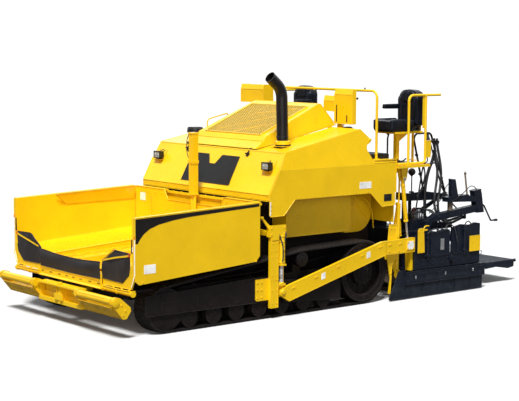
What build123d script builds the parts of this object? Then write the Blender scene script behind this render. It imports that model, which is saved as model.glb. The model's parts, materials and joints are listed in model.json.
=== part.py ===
"""Tracked asphalt paver with a ten-foot extendable screed, in millimetres.

+Z is up, the hopper faces -Y and the machine's left side is +X. Heights are above the ground.
Stations run rearward from the exhaust stack's axis; aft() turns a station into the row's Y.
Every sub-part is one STEP file. Left and right twins are mirror images about the middle plane.
"""
import math
import os

from build123d import *

os.makedirs("parts", exist_ok=True)

# ---------------------------------------------------------------- driving dimensions
MID = 831.0             # station of the middle of the machine's length

HOPPER_FRONT = -2940.0  # hopper wings, front and rear ends
HOPPER_REAR = -812.0
WING_OUT = 1580.0       # half the machine's width, over the wings
WING_HINGE = (790.0, 872.0)         # x and height of the hinge axis at its front end
WING_RISE = 0.0625      # climb of the wing floor and its hinge, per length rearward
SHEET = 12.0            # common steel sheet

BELT_IN, BELT_OUT = 1100.0, 1450.0
BELT_THICK = 40.0
DRIVE = (1340.0, 490.0, 490.0)      # station, height, radius over the belt
IDLER = (-2320.0, 330.0, 330.0)
CARRIER = (110.0, 800.0, 150.0)
ROLLER_STATIONS = (-1940, -1520, -1120, -700, -280, 140, 540)
ROLLER_R = 140.0

HOOD_FRONT = -630.0     # station of the hood's front lip
COWL_OUT = 1557.0
COWL_LEAN = 0.15        # inward lean of the upper cowl side
COWL_CREASE = 2130.0
COWL_TOP = [(-296, 2380), (1200, 2668)]     # the side cowl's sloping top edge
BELOW_COWL = [(-296, 2000), *COWL_TOP, (1200, 2000)]
COWL_HINGE = (1200.0, 2610.0)       # station, height of the engine cowl's hinge pins

FLOOR_Z = 2050.0        # operator's platform
ROOF_FOOT = (1380.0, 2440.0)        # x, station of the bolt squares for a roof's posts
ROOF_FOOT_PITCH = 110.0
ROOF_BOLT_R = 9.0
LUG_BORE_R = 25.0
RAIL_R = 20.0

PUSH_AXLE = (-3193.0, 530.0)        # station, height of the push rollers
PUSH_PIVOT = -2690.0    # station of the push beam's pin
TOW_PIN = (-360.0, 380.0)           # station, height
TOW_ROD = (1509.0, -350.0)          # x, station of the tow point's cylinder
LIFT_TOP = (2125.0, 1870.0)         # upper pin of the screed lift cylinders
LIFT_EYE = (2255.0, 930.0)          # their rod's eye, beside the tow arm
CYL_X = 1460.0          # plane of the screed lift cylinders

SCREED_FRONT = 2400.0
EXT_FRONT, EXT_REAR = 3120.0, 3820.0
GUIDE_TUBE = (3440.0, 860.0)        # station, height of the sliding extensions' guide tubes
AUGER = (2130.0, 370.0, 170.0)      # station, height, radius
WALK_HINGE = (4090.0, 330.0)
HOSE_R = 21.0

SEATS = ((990.0, 2430.0), (-1460.0, 2385.0))      # low x, station of the backrest's front
SEAT_W = 470.0


# ---------------------------------------------------------------- shared building steps
def aft(station):
    """Row Y of a station."""
    return station - MID


def block(xs, stations, zs, mode=Mode.ADD):
    """A box between (low, high) pairs."""
    with Locations((sum(xs) / 2, aft(sum(stations) / 2), sum(zs) / 2)):
        Box(xs[1] - xs[0], stations[1] - stations[0], zs[1] - zs[0], mode=mode)


def slab(points, xs, mode=Mode.ADD):
    """A prism along X over (station, height) corners."""
    with BuildSketch(Plane.YZ.offset(xs[0])) as profile:
        with BuildLine():
            Polyline(*[(aft(s), z) for s, z in points], close=True)
        make_face()
    extrude(profile.sketch, amount=xs[1] - xs[0], mode=mode)


def wall(points, stations, mode=Mode.ADD):
    """A prism along Y over (x, height) corners."""
    with BuildSketch(Plane.XZ.offset(-aft(stations[1]))) as profile:
        with BuildLine():
            Polyline(*points, close=True)
        make_face()
    extrude(profile.sketch, amount=stations[1] - stations[0], mode=mode)


def raked(points, stations, mode=Mode.ADD):
    """A prism over (x, height) corners at its front end, climbing rearward with the wing floor."""
    with BuildSketch(Plane.XZ.offset(-aft(stations[0]))) as profile:
        with BuildLine():
            Polyline(*points, close=True)
        make_face()
    length = (stations[1] - stations[0]) * math.hypot(1, WING_RISE)
    extrude(profile.sketch, amount=length, dir=(0, 1, WING_RISE), mode=mode)


def shaft(xs, station, z, radius, mode=Mode.ADD):
    """A cylinder along X."""
    with BuildSketch(Plane.YZ.offset(xs[0])) as profile:
        with Locations((aft(station), z)):
            Circle(radius)
    extrude(profile.sketch, amount=xs[1] - xs[0], mode=mode)


def post(x, station, zs, radius, mode=Mode.ADD):
    """A cylinder along Z."""
    with BuildSketch(Plane.XY.offset(zs[0])) as profile:
        with Locations((x, aft(station))):
            Circle(radius)
    extrude(profile.sketch, amount=zs[1] - zs[0], mode=mode)


def strut(start, end, radius, mode=Mode.ADD):
    """A cylinder between two (x, station, height) points."""
    a = Vector(start[0], aft(start[1]), start[2])
    b = Vector(end[0], aft(end[1]), end[2])
    with BuildSketch(Plane(origin=a, z_dir=b - a)) as profile:
        Circle(radius)
    extrude(profile.sketch, amount=(b - a).length, mode=mode)


def pipe(points, radius, bend, mode=Mode.ADD):
    """A round tube along straight runs joined by bends."""
    with BuildLine() as route:
        FilletPolyline(*[(x, aft(s), z) for x, s, z in points], radius=bend)
    with BuildSketch(Plane(origin=route.line @ 0, z_dir=route.line % 0)) as profile:
        Circle(radius)
    sweep(profile.sketch, path=route.line, mode=mode)


def save(node, piece):
    piece.label = node
    export_step(piece, f"parts/{node}.step")


def save_pair(node, piece):
    save("left_" + node, piece)
    save("right_" + node, mirror(piece, about=Plane.YZ))


def save_twins(node, piece):
    """One node that holds a piece and its mirror image."""
    with BuildPart() as twins:
        add(piece)
        add(mirror(piece, about=Plane.YZ))
    save(node, twins.part)


# ---------------------------------------------------------------- chassis
with BuildPart() as main_frame:
    for x in (900.0, -936.0):
        slab([(-2600, 420), (1900, 420), (1900, 1690), (-690, 1690), (-780, 796), (-2600, 780)],
             (x, x + 36))
    block((-900, 900), (-2600, -2560), (420, 640))
    block((-900, 900), (-700, -670), (420, 560))
    block((-900, 900), (1860, 1900), (1215, 1690))
    block((-900, 900), (-600, 1860), (420, 432))
    block((-1500, 1500), (-600, -590), (1650, 1780))
    # clevis and pin of the oscillating push beam
    for z in (420, 514):
        block((-110, 110), (-2760, -2600), (z, z + 18))
    post(0, PUSH_PIVOT, (410, 545), 25)
save("main_frame", main_frame.part)

# the deck climbs through the hopper, then runs level through a tunnel under the engine
DECK_FRONT, DECK_REAR = -2800.0, 1940.0
TUNNEL = -785.0         # station of the tunnel's mouth
DECK_LOW, DECK_HIGH = 832.0, 912.0  # the deck's top at its front end and in the tunnel


def deck_line(raised):
    """(station, height) points along the deck's top, raised by a distance."""
    return [(DECK_FRONT, DECK_LOW + raised), (TUNNEL, DECK_HIGH + raised), (DECK_REAR, DECK_HIGH + raised)]


# deck, chain guard, side plates, tunnel, slats of both feeder chains and tail shaft
with BuildPart() as conveyor:
    slab([*deck_line(0), *reversed(deck_line(-12))], (-764, 764))
    slab([*deck_line(78), *reversed(deck_line(-6))], (-45, 45))
    for x in (752.0, -768.0):
        slab([(DECK_FRONT, 640), (DECK_FRONT, 888), (-790, 1014), (-790, 640)], (x, x + 16))
    for x in (752.0, -764.0):
        block((x, x + 12), (TUNNEL, DECK_REAR), (905, 1190))
    block((-764, 764), (TUNNEL, DECK_REAR), (1190, 1202))
    for x in (-415.0, 415.0):
        for n in range(21):
            station = -2700 + 229 * n
            climb = min((station - DECK_FRONT) / (TUNNEL - DECK_FRONT), 1)
            deck = DECK_LOW + (DECK_HIGH - DECK_LOW) * climb
            block((x - 320, x + 320), (station, station + 36), (deck - 4, deck + 22))
    shaft((-752, 752), -2740, 740, 56)
save("conveyor", conveyor.part)

# ---------------------------------------------------------------- hopper
# the wing's hollow underside, bounded by its inner skin, outer plate and end plates
with BuildPart() as wing_hollow:
    raked([(802, 400), (802, 868), (1512, 922), (1524, 1790), (1568, 1790), (1568, 400)],
          (HOPPER_FRONT + SHEET, HOPPER_REAR - SHEET))
    slab([(-2930, 300), (-822, 300), (-822, 1695), (-2930, 1622)], (790, 1600), mode=Mode.INTERSECT)

# plate leaning inward from the wing's wall along the rear of its top edge
with BuildPart() as lip_plate:
    wall([(1516, 1480), (1500, 1480), (1436, 1720), (1450, 1724)], (-2300, -850))
    slab([(-2290, 1655), (-2099, 1500), (-850, 1508), (-850, 1704)], (1400, 1540), mode=Mode.INTERSECT)

# bottom and top edges rise towards the rear; the lower corners are cut off
with BuildPart() as hopper_wing:
    raked([(790, 856), (790, 880), (1500, 934), (1512, 1790), (WING_OUT, 1790), (WING_OUT, 400),
           (1060, 400), (1060, 832), (810, 856)], (HOPPER_FRONT, HOPPER_REAR))
    slab([(-3000, 300), (-700, 300), (-700, 950), (HOPPER_REAR, 950), (-880, 872), (-2880, 739),
          (HOPPER_FRONT, 790), (-3000, 790)], (1040, 1600), mode=Mode.SUBTRACT)
    slab([(-3000, 1632), (-700, 1711), (-700, 2000), (-3000, 2000)], (780, 1600), mode=Mode.SUBTRACT)
    add(wing_hollow.part, mode=Mode.SUBTRACT)
    strut((WING_HINGE[0], HOPPER_FRONT + 40, WING_HINGE[1] + WING_RISE * 40),
          (WING_HINGE[0], HOPPER_REAR - 40, WING_HINGE[1] + WING_RISE * (HOPPER_REAR - 40 - HOPPER_FRONT)), 16)
    add(lip_plate.part)
    wall([(806, 660), (1496, 672), (WING_OUT, 850), (WING_OUT, 1000), (1480, 1000), (1440, 860), (1300, 745),
          (806, 745)], (HOPPER_FRONT - 3, HOPPER_FRONT + SHEET))
save_pair("hopper_wing", hopper_wing.part)

# rear wall with its low middle, and the bulkhead beam and plate behind it
with BuildPart() as hopper_rear_wall:
    wall([(-1506, 1040), (-1200, 1000), (-775, 1000), (-775, 1195), (775, 1195), (775, 1000), (1200, 1000),
          (1506, 1040), (1506, 1705), (740, 1705), (640, 1554), (-640, 1554), (-740, 1705), (-1506, 1705)],
         (-800, -788))
    for x in (740.0, -1480.0):
        block((x, x + 740), (-788, -720), (1682, 1705))
    block((-1480, 1480), (-740, -700), (1650, 1682))
    block((-896, 896), (-712, -700), (1215, 1650))
save("hopper_rear_wall", hopper_rear_wall.part)

# square mast standing in front of the rear wall, on two tubes
with BuildPart() as mast_post:
    block((24, 124), (-905, -805), (1700, 2610))
    block((13, 135), (-914, -801), (2158, 2204))
    for x in (46.0, 102.0):
        post(x, -855, (1000, 1700), 27)
    block((14, 134), (-895, -815), (994, 1020))
    block((20, 128), (-840, -800), (1250, 1290))
save("mast_post", mast_post.part)

# rubber apron in three pieces, one on the machine and one on each wing
with BuildPart() as centre_flap:
    wall([(-780, 730), (780, 730), (785, 972), (745, 950), (-745, 950), (-785, 972)], (-2972, -2962))
save("centre_flap", centre_flap.part)

with BuildPart() as wing_flap:
    wall([(800, 745), (1290, 735), (1455, 890), (1468, 1150), (1100, 1165), (800, 985)], (-2954, -2944))
save_pair("wing_flap", wing_flap.part)

with BuildPart() as front_apron:
    slab([(-2985, 600), (-2962, 620), (-2962, 800), (-2900, 800), (-2900, 790), (-2950, 790),
          (-2950, 612), (-2978, 590)], (-800, 800))
    block((-780, 780), (-2910, -2800), (770, 790))
    for x in (795.0, -1500.0):
        shaft((x, x + 705), -2925, 612, 36)
        block((x + 5, x + 45), (-2925, -2600), (625, 655))
        block((x + 660, x + 700), (-2925, -2600), (625, 655))
save("front_apron", front_apron.part)

# ---------------------------------------------------------------- hood and engine bay
GRILLE = [(-580, 1860), (-572, 2262), (-165, 2262), (-70, 2130), (70, 2130), (165, 2262), (572, 2262),
          (580, 1860)]

with BuildPart() as hood_front:
    slab([(HOOD_FRONT, 1715), (HOOD_FRONT, 1790), (-309, 2380), (-296, 2380), (-618, 1787),
          (-618, 1715)], (-1550, 1550))
    for side in (-1, 1):
        wall([(side * 1550, COWL_CREASE), (side * 1600, COWL_CREASE), (side * 1600, 2420),
              (side * 1507, 2420)], (-800, -200), mode=Mode.SUBTRACT)
    wall(GRILLE, (-700, -200), mode=Mode.SUBTRACT)
save("hood_front", hood_front.part)

with BuildPart() as front_grille:
    slab([(-628, 1786), (-307, 2378), (-301, 2378), (-621, 1786)], (-600, 600))
    wall(GRILLE, (-700, -200), mode=Mode.INTERSECT)
save("front_grille", front_grille.part)

with BuildPart() as headlight:
    slab([(-500, 2125), (-500, 2245), (-383, 2245), (-448, 2125)], (1245, 1415))
save_twins("headlights", headlight.part)

# side cowl: a sheet box open below, inside and in front, with two brackets hanging from its lower edge
with BuildPart() as side_cowl:
    slab([(-618, 1700), (-618, 1787), *COWL_TOP, (1385, 2520), (1385, 2462), (1312, 2425), (1300, 2360),
          (1425, 2170), (1900, 2160), (1900, 1700)], (852, COWL_OUT))
    wall([(COWL_OUT, COWL_CREASE), (1620, COWL_CREASE), (1620, 2730),
          (COWL_OUT - COWL_LEAN * 600, COWL_CREASE + 600)], (-800, 2000), mode=Mode.SUBTRACT)
    inner_side = side_cowl.faces().sort_by(Axis.X)[0]
    underside = side_cowl.faces().sort_by(Axis.Z)[0]
    front_faces = side_cowl.faces().sort_by(Axis.Y)[0:2]
    offset(amount=-10, openings=[inner_side, underside, *front_faces])
    slab([(-618, 1700), (-140, 1700), (-350, 1480), (-600, 1480), (-618, 1500)], (1545, COWL_OUT))
    slab([(1360, 1700), (1600, 1480), (1870, 1490), (1900, 1700)], (1545, COWL_OUT))
    # bracket and pin of the engine cowl's hinge
    slab([(1140, 2650), (1195, 2662), (1235, 2632), (1235, 2570), (1165, 2570)], (852, 862))
    shaft((785, 856), *COWL_HINGE, 12)
save_twins("side_cowls", side_cowl.part)

# raised engine cowl, hinged at the rear on an ear inside each flank
with BuildPart() as cowl_outer:
    slab([(-290, 2392), (-130, 2500), (-70, 2571), (1000, 3025), (1050, 3020), (1310, 2690), (420, 2512)],
         (-846, 846))
    for side in (-1, 1):
        wall([(side * 846, 2380), (side * 900, 2380), (side * 900, 3050), (side * 760, 3050)],
             (-400, 1400), mode=Mode.SUBTRACT)

with BuildPart() as engine_cowl:
    add(cowl_outer.part)
    lower_faces = engine_cowl.faces().filter_by(lambda f: f.normal_at().Z < -0.5)
    offset(amount=-8, openings=lower_faces)
    for x in (797.0, -807.0):
        slab([(1150, 2700), (1250, 2708), (1230, 2588), (1170, 2588)], (x, x + 10))
        shaft((x - 5, x + 15), *COWL_HINGE, 13, mode=Mode.SUBTRACT)
save("engine_cowl", engine_cowl.part)

with BuildPart() as engine_block:
    block((-400, 400), (-360, 740), (1300, 2150))
save("engine_block", engine_block.part)

with BuildPart() as exhaust_stack:
    pipe([(1120, -15, 2440), (1120, -42, 3270), (1120, -400, 3560)], 85, 260)
    pipe([(1120, -16, 2470), (1120, -42, 3270), (1120, -415, 3572)], 75, 260, mode=Mode.SUBTRACT)
    slab([(-200, 3750), (-200, 3540), (-325, 3370), (-325, 3150), (-600, 3150), (-600, 3750)], (1000, 1240),
         mode=Mode.SUBTRACT)
    post(1120, -10, (2400, 2500), 115)
    slab(BELOW_COWL, (600, 1400), mode=Mode.SUBTRACT)
save("exhaust_stack", exhaust_stack.part)

with BuildPart() as air_cleaner_dome:
    post(-1150, 100, (2400, 2520), 60)
    post(-1150, 100, (2520, 2600), 130)
    fillet(air_cleaner_dome.edges().group_by(Axis.Z)[-1], 40)
    slab(BELOW_COWL, (-1400, -600), mode=Mode.SUBTRACT)
save("air_cleaner_dome", air_cleaner_dome.part)

with BuildPart() as side_tank:
    block((940, 1250), (-50, 1250), (1110, 1660))
    fillet(side_tank.edges().filter_by(Axis.X), 18)
with BuildPart() as pump_housing:
    block((940, 1090), (1262, 1820), (1060, 1680))
    fillet(pump_housing.edges().filter_by(Axis.X).group_by(Axis.Z)[0].sort_by(Axis.Y)[-1], 300)
with BuildPart() as tank_and_pump:
    add(side_tank.part)
    add(pump_housing.part)
save_twins("side_tanks", tank_and_pump.part)

# ---------------------------------------------------------------- operator's station
with BuildPart() as operator_platform:
    block((-1580, 1580), (1905, 2600), (FLOOR_Z, FLOOR_Z + 30))
    block((-1545, 1545), (1440, 1917), (2172, 2190))
    block((-1545, 1545), (1905, 1917), (FLOOR_Z, 2190))
    for x in (-1400.0, -560.0, 520.0, 1360.0):
        slab([(1905, 1560), (1905, FLOOR_Z), (2560, FLOOR_Z), (2560, 2030), (2200, 2020), (2060, 1960), (1960, 1560)],
             (x, x + 40))
    block((-1490, 1490), (1905, 1917), (1215, FLOOR_Z))
    # hangers and upper pins of the screed lift cylinders
    for side in (-1, 1):
        for inner in (CYL_X - 50, CYL_X + 40):
            slab([(2050, FLOOR_Z), (2080, 1880), (2105, 1835), (2145, 1835), (2170, 1880), (2200, FLOOR_Z)],
                 sorted((side * inner, side * (inner + 10))))
        shaft(sorted((side * (CYL_X - 50), side * (CYL_X + 50))), *LIFT_TOP, 16)
    with Locations((ROOF_FOOT[0], aft(ROOF_FOOT[1]), 0), (-ROOF_FOOT[0], aft(ROOF_FOOT[1]), 0)):
        with GridLocations(ROOF_FOOT_PITCH, ROOF_FOOT_PITCH, 2, 2):
            Cylinder(ROOF_BOLT_R, 6000, mode=Mode.SUBTRACT)
save("operator_platform", operator_platform.part)

with BuildPart() as platform_mat:
    block((-1290, 1290), (1450, 1890), (2190, 2198))
    for x in (950.0, -1390.0):
        block((x, x + 440), (1500, 1890), (2190, 2262))
    block((-1290, 1290), (1925, 2590), (FLOOR_Z + 30, FLOOR_Z + 38))
save("platform_mat", platform_mat.part)

# control consoles on their stands; the left one has been slid inboard and the right one outboard
CONSOLES = (    # low x, high x, rear station, bottom, top
    (722, 1130, 1440, 2712, 3240),
    (478, 722, 1470, 2895, 3135),
    (-1575, -985, 1572, 2968, 3262),
)
STANDS = ((750, 1400, 2712), (-1330, 1440, 2968))       # low x, front station, top
with BuildPart() as consoles:
    for low, high, rear, bottom, top in CONSOLES:
        slab([(1362, bottom), (1362, top - 80), (1385, top), (rear, top - 5), (rear, bottom)], (low, high))
    for x, front, top in STANDS:
        block((x, x + 100), (front, front + 40), (2198, top))
save("consoles", consoles.part)

# side rail: a bent hoop whose top tube runs on rearward, with a flat plate and a lamp box
with BuildPart() as side_rail:
    pipe([(1500, 2200, FLOOR_Z + 30), (1500, 2200, 3150), (1500, 2890, 3150)], RAIL_R, 90)
    pipe([(1500, 2570, 3140), (1500, 2570, FLOOR_Z + 52), (1500, 1960, FLOOR_Z + 52)], RAIL_R, 60)
    block((1494, 1506), (2505, 2590), (2640, 3140))
    block((1485, 1515), (2580, 2682), (2185, 2436))
with BuildPart() as guard_rails:
    pipe([(1415, 1600, 2190), (1415, 1600, 3225), (-1415, 1600, 3225), (-1415, 1600, 2190)], RAIL_R, 110)
    add(side_rail.part)
    add(mirror(side_rail.part, about=Plane.YZ))
save("guard_rails", guard_rails.part)

with BuildPart() as seat_pedestals:
    for x, s in SEATS:
        mid = x + SEAT_W / 2
        block((mid - 32, mid + 32), (s - 250, s - 184), (FLOOR_Z + 38, 2570))
        slab([(s - 184, 2415), (s - 184, 2560), (s + 50, 2560)], (mid - 8, mid + 8))
        block((mid - 14, mid + 14), (s + 130, s + 158), (FLOOR_Z + 38, 2570))
        block((x + 40, x + SEAT_W - 40), (s - 440, s + 160), (2560, 2590))
        block((mid - 100, mid + 100), (s + 202, s + 222), (2560, 2900))
        block((mid - 100, mid + 100), (s + 150, s + 222), (2560, 2590))
save("seat_pedestals", seat_pedestals.part)

with BuildPart() as seat_cushions:
    for x, s in SEATS:
        block((x, x + SEAT_W), (s - 560, s - 5), (2592, 2790))
    fillet(seat_cushions.edges(), 35)
with BuildPart() as seat_backrests:
    for x, s in SEATS:
        block((x, x + SEAT_W), (s, s + 198), (2605, 3255))
    fillet(seat_backrests.edges().filter_by(Axis.Y).group_by(Axis.Z)[-1], 150)
    fillet(seat_backrests.edges().filter_by(Axis.Y).group_by(Axis.Z)[0], 40)
with BuildPart() as seats:
    add(seat_cushions.part)
    add(seat_backrests.part)
save("seats", seats.part)

# ---------------------------------------------------------------- tracks
with BuildPart() as track_belt:
    with BuildSketch(Plane.YZ.offset(BELT_IN)):
        with BuildLine():
            for station, z, radius in (IDLER, CARRIER, DRIVE):
                CenterArc((aft(station), z), radius, 0, 360)
        make_hull()
    extrude(amount=BELT_OUT - BELT_IN)
    with BuildSketch(Plane.YZ.offset(BELT_IN)):
        with BuildLine():
            for station, z, radius in (IDLER, CARRIER, DRIVE):
                CenterArc((aft(station), z), radius - BELT_THICK, 0, 360)
        make_hull()
    extrude(amount=BELT_OUT - BELT_IN, mode=Mode.SUBTRACT)
save_pair("track_belt", track_belt.part)

# running gear inside each belt: drive wheel, front idler, carrier and road rollers on their axles
def wheel_pair(station, z, radius, hub, gap):
    """Twin discs on one axle, the gap between them held by the track frame."""
    shaft((1115, 1275 - gap / 2), station, z, radius)
    shaft((1275 + gap / 2, 1435), station, z, radius)
    shaft((1115, 1435), station, z, hub)


with BuildPart() as drive_wheel:
    shaft((1110, 1440), DRIVE[0], DRIVE[1], DRIVE[2] - BELT_THICK - 1)
    shaft((1330, 1440), DRIVE[0], DRIVE[1], 350, mode=Mode.SUBTRACT)
    shaft((1330, 1425), DRIVE[0], DRIVE[1], 190)
    shaft((940, 1110), DRIVE[0], DRIVE[1], 170)

with BuildPart() as track_wheels:
    add(drive_wheel.part)
    wheel_pair(IDLER[0], IDLER[1], IDLER[2] - BELT_THICK - 1, 45, 130)
    wheel_pair(CARRIER[0], CARRIER[1], CARRIER[2] - BELT_THICK - 1, 30, 110)
    for station in ROLLER_STATIONS:
        wheel_pair(station, BELT_THICK + ROLLER_R, ROLLER_R - 1, 30, 110)
save_twins("track_wheels", track_wheels.part)

# roller frame: a box beam with axle hangers, and an outer guard plate beside the belt
with BuildPart() as track_frame:
    block((1235, 1315), (-1990, 830), (335, 600))
    for station in ROLLER_STATIONS:
        block((1250, 1300), (station - 60, station + 60), (140, 335))
        shaft((1200, 1340), station, BELT_THICK + ROLLER_R, 31, mode=Mode.SUBTRACT)
    slab([(-1990, 600), (-2385, 400), (-2385, 260), (-1990, 335)], (1250, 1300))
    slab([(30, 600), (60, 860), (160, 860), (190, 600)], (1250, 1300))
    shaft((1200, 1340), IDLER[0], IDLER[1], 46, mode=Mode.SUBTRACT)
    shaft((1200, 1340), CARRIER[0], CARRIER[1], 31, mode=Mode.SUBTRACT)
    for station in (-1700.0, -900.0, 600.0):
        block((1315, 1462), (station - 50, station + 50), (400, 540))
        block((936, 1235), (station - 50, station + 50), (400, 540))
    slab([(-2710, 300), (-2690, 270), (-480, 250), (-480, 600), (-830, 615), (-1620, 580), (-2700, 545)],
         (1456, 1474))
    slab([(-285, 200), (-285, 540), (840, 425), (840, 152)], (1456, 1472))
save_twins("track_frames", track_frame.part)

# ---------------------------------------------------------------- tow points
with BuildPart() as tow_guide:
    slab([(-810, 300), (-790, 280), (-500, 280), (-500, 590), (-810, 590)], (1474, 1489))
    block((1478, 1540), (-570, -432), (160, 1350))
    slab([(-600, 1190), (-570, 1190), (-560, 1140), (-432, 1140), (-432, 1190), (-300, 1200), (-300, 1350),
          (-600, 1350)], (1470, 1548))
    slab([(-600, 1300), (-745, 1480), (-725, 1490), (-570, 1345)], (1500, 1515))
    post(*TOW_ROD, (770, 1200), 50)
    block((1459, 1559), (-400, -300), (760, 784))
    post(*TOW_ROD, (700, 1110), 31.5, mode=Mode.SUBTRACT)
    block((940, 1470), (-560, -440), (1195, 1255))
save_twins("tow_guides", tow_guide.part)

with BuildPart() as tow_block:
    block((1458, 1495), (-425, -300), (300, 500))
    block((1458, 1545), (-425, -300), (468, 500))
    shaft((1458, 1572), *TOW_PIN, 24)
    post(*TOW_ROD, (490, 850), 30)
save_pair("tow_block", tow_block.part)

# ---------------------------------------------------------------- push rollers

with BuildPart() as push_beam:
    block((-1475, 1475), (-3060, -2990), (330, 420))
    for side in (-1, 1):
        xs = sorted((side * 600, side * 1430))
        slab([(-3222, 455), (-3056, 286), (-3044, 294), (-3200, 455)], xs)
        block(xs, (-3120, -3040), (330, 345))
        for a, b in ((555, 592), (1438, 1475)):
            cheek = sorted((side * a, side * b))
            slab([(-3245, 500), (-3240, 575), (-3190, 594), (-3110, 575), (-2950, 440), (-2940, 385),
                  (-3010, 285), (-3070, 285)], cheek)
        shaft(sorted((side * 1475, side * 1490)), *PUSH_AXLE, 60)
    block((-520, 520), (-3190, -3020), (548, 566))
    block((-520, 520), (-3050, -3036), (330, 566))
    block((-556, 556), (-3135, -3040), (290, 345))
    for x in (-60.0, 44.0):
        slab([(-3180, 548), (-3050, 548), (-3050, 345), (-3120, 345)], (x, x + 16))
    block((-85, 85), (-3050, -2640), (446, 506))
    post(0, PUSH_PIVOT, (400, 560), 27, mode=Mode.SUBTRACT)
save("push_beam", push_beam.part)

with BuildPart() as push_roller:
    shaft((600, 1430), *PUSH_AXLE, 56)
    shaft((594, 1436), *PUSH_AXLE, 24)
save_pair("push_roller", push_roller.part)

# ---------------------------------------------------------------- augers
with BuildPart() as auger_beam:
    block((-1380, 1380), (1900, 2030), (620, 740))
    for x in (-30.0, -1386.0, 1374.0):
        width = 60 if x == -30 else 12
        slab([(1930, 620), (2030, 620), (2170, 420), (2170, 340), (2100, 330), (1970, 560)],
             (x, x + width))
    for side in (-1, 1):
        xs = sorted((side * 1380, side * 1470))
        block(xs, (1905, 1945), (620, 740))
        plate = sorted((side * 1468, side * 1482))
        slab([(1840, 1185), (1990, 1172), (2000, 640), (1910, 560), (1895, 330), (1880, 105), (1835, 110),
              (1870, 330), (1792, 711)], plate)
        # upright cylinder that sets the height of the auger's end bearing
        strut((side * 1380, 2105, 440), (side * 1380, 2130, 1480), 32)
        strut((side * 1380, 2130, 1470), (side * 1380, 2140, 1940), 14)
save("auger_beam", auger_beam.part)

with BuildPart() as auger:
    shaft((34, 1370), AUGER[0], AUGER[1], 36)
    for n in range(8):
        centre = Vector(110 + 164 * n, aft(AUGER[0]), AUGER[1])
        with BuildSketch(Plane(origin=centre, z_dir=(1, 0, 0.35))) as flight:
            Circle(AUGER[2] - 6)
        extrude(flight.sketch, amount=14)
save_pair("auger", auger.part)

# ---------------------------------------------------------------- screed and tow arms
with BuildPart() as tow_arm:
    slab([(-400, 330), (-240, 232), (1700, 730), (2320, 730), (2320, 950), (1630, 940), (-300, 448),
          (-400, 410)], (1500, 1560))
    shaft((1490, 1580), *TOW_PIN, 25, mode=Mode.SUBTRACT)
    block((1384, 1488), (2290, SCREED_FRONT), (430, 930))
    block((1488, 1500), (2290, 2330), (430, 930))
save_twins("tow_arms", tow_arm.part)

with BuildPart() as screed_frame:
    block((-1440, 1440), (SCREED_FRONT, 3030), (50, 420))
    block((-1430, 1430), (SCREED_FRONT + 12, 3018), (40, 408), mode=Mode.SUBTRACT)
    block((-1300, 1300), (2450, 2950), (408, 1000))
    block((-1290, 1290), (2460, 2940), (380, 990), mode=Mode.SUBTRACT)
    for x in (-1440.0, -700.0, 690.0, 1430.0):
        block((x, x + 10), (SCREED_FRONT, 3030), (50, 900))
    for x in (-1430.0, 1180.0):
        block((x, x + 250), (2940, 3500), (800, 920))
        shaft((x - 20, x + 270), *GUIDE_TUBE, 41, mode=Mode.SUBTRACT)
save("screed_frame", screed_frame.part)

with BuildPart() as screed_plate:
    slab([(2350, 75), (2362, 30), (2385, 15), (3030, 15), (3030, 50), (2400, 50), (2365, 80)],
         (-1440, 1440))
save("screed_plate", screed_plate.part)

with BuildPart() as screed_tray:
    slab([(2740, 1440), (2740, 1555), (3130, 1568), (3690, 1492), (3720, 1408)], (-950, 950))
    slab([(2752, 1452), (2752, 1700), (3680, 1700), (3680, 1421)], (-940, 940), mode=Mode.SUBTRACT)
    slab([(2700, 1462), (2700, 1800), (3750, 1800), (3750, 1425)], (-350, 350), mode=Mode.SUBTRACT)
    for x in (-860.0, 820.0):
        block((x, x + 40), (2760, 2800), (1000, 1445))
        block((x, x + 40), (2900, 2940), (1000, 1440))
        slab([(2940, 1100), (2940, 1180), (3500, 1418), (3600, 1414)], (x, x + 40))
save("screed_tray", screed_tray.part)

with BuildPart() as hydraulic_manifold:
    block((-450, 450), (2600, 2800), (1000, 1180))
    block((-250, 150), (2560, 2740), (1180, 1300))
    for x in (880.0, -1170.0):
        block((x, x + 290), (2600, 3230), (1000, 1150))
    for x in (880.0, -1050.0):
        block((x, x + 170), (3230, 3700), (950, 1050))
    post(300, 2700, (1180, 1340), 60)
save("hydraulic_manifold", hydraulic_manifold.part)

# hose carrier: a bent tube hoop with a crossbar, standing on the tray's sloping side
with BuildPart() as hose_mast:
    pipe([(925, 3143, 1583), (925, 2880, 2510), (925, 3290, 2510), (925, 3650, 1518)], 17, 90)
    for station, foot in ((2872.0, 1564.0), (3143.0, 1570.0), (3650.0, 1504.0)):
        block((895, 948), (station - 35, station + 35), (foot, foot + 20))
    strut((925, 3020, 2000), (925, 3470, 2020), 12)
    block((925, 1165), (3190, 3240), (2362, 2400))
    strut((925, 3215, 2400), (925, 3215, 2510), 14)
    post(925, 2872, (1575, 1870), 10)
    with Locations((925, aft(2872), 1900)):
        Sphere(60)
save_twins("hose_masts", hose_mast.part)

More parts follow.
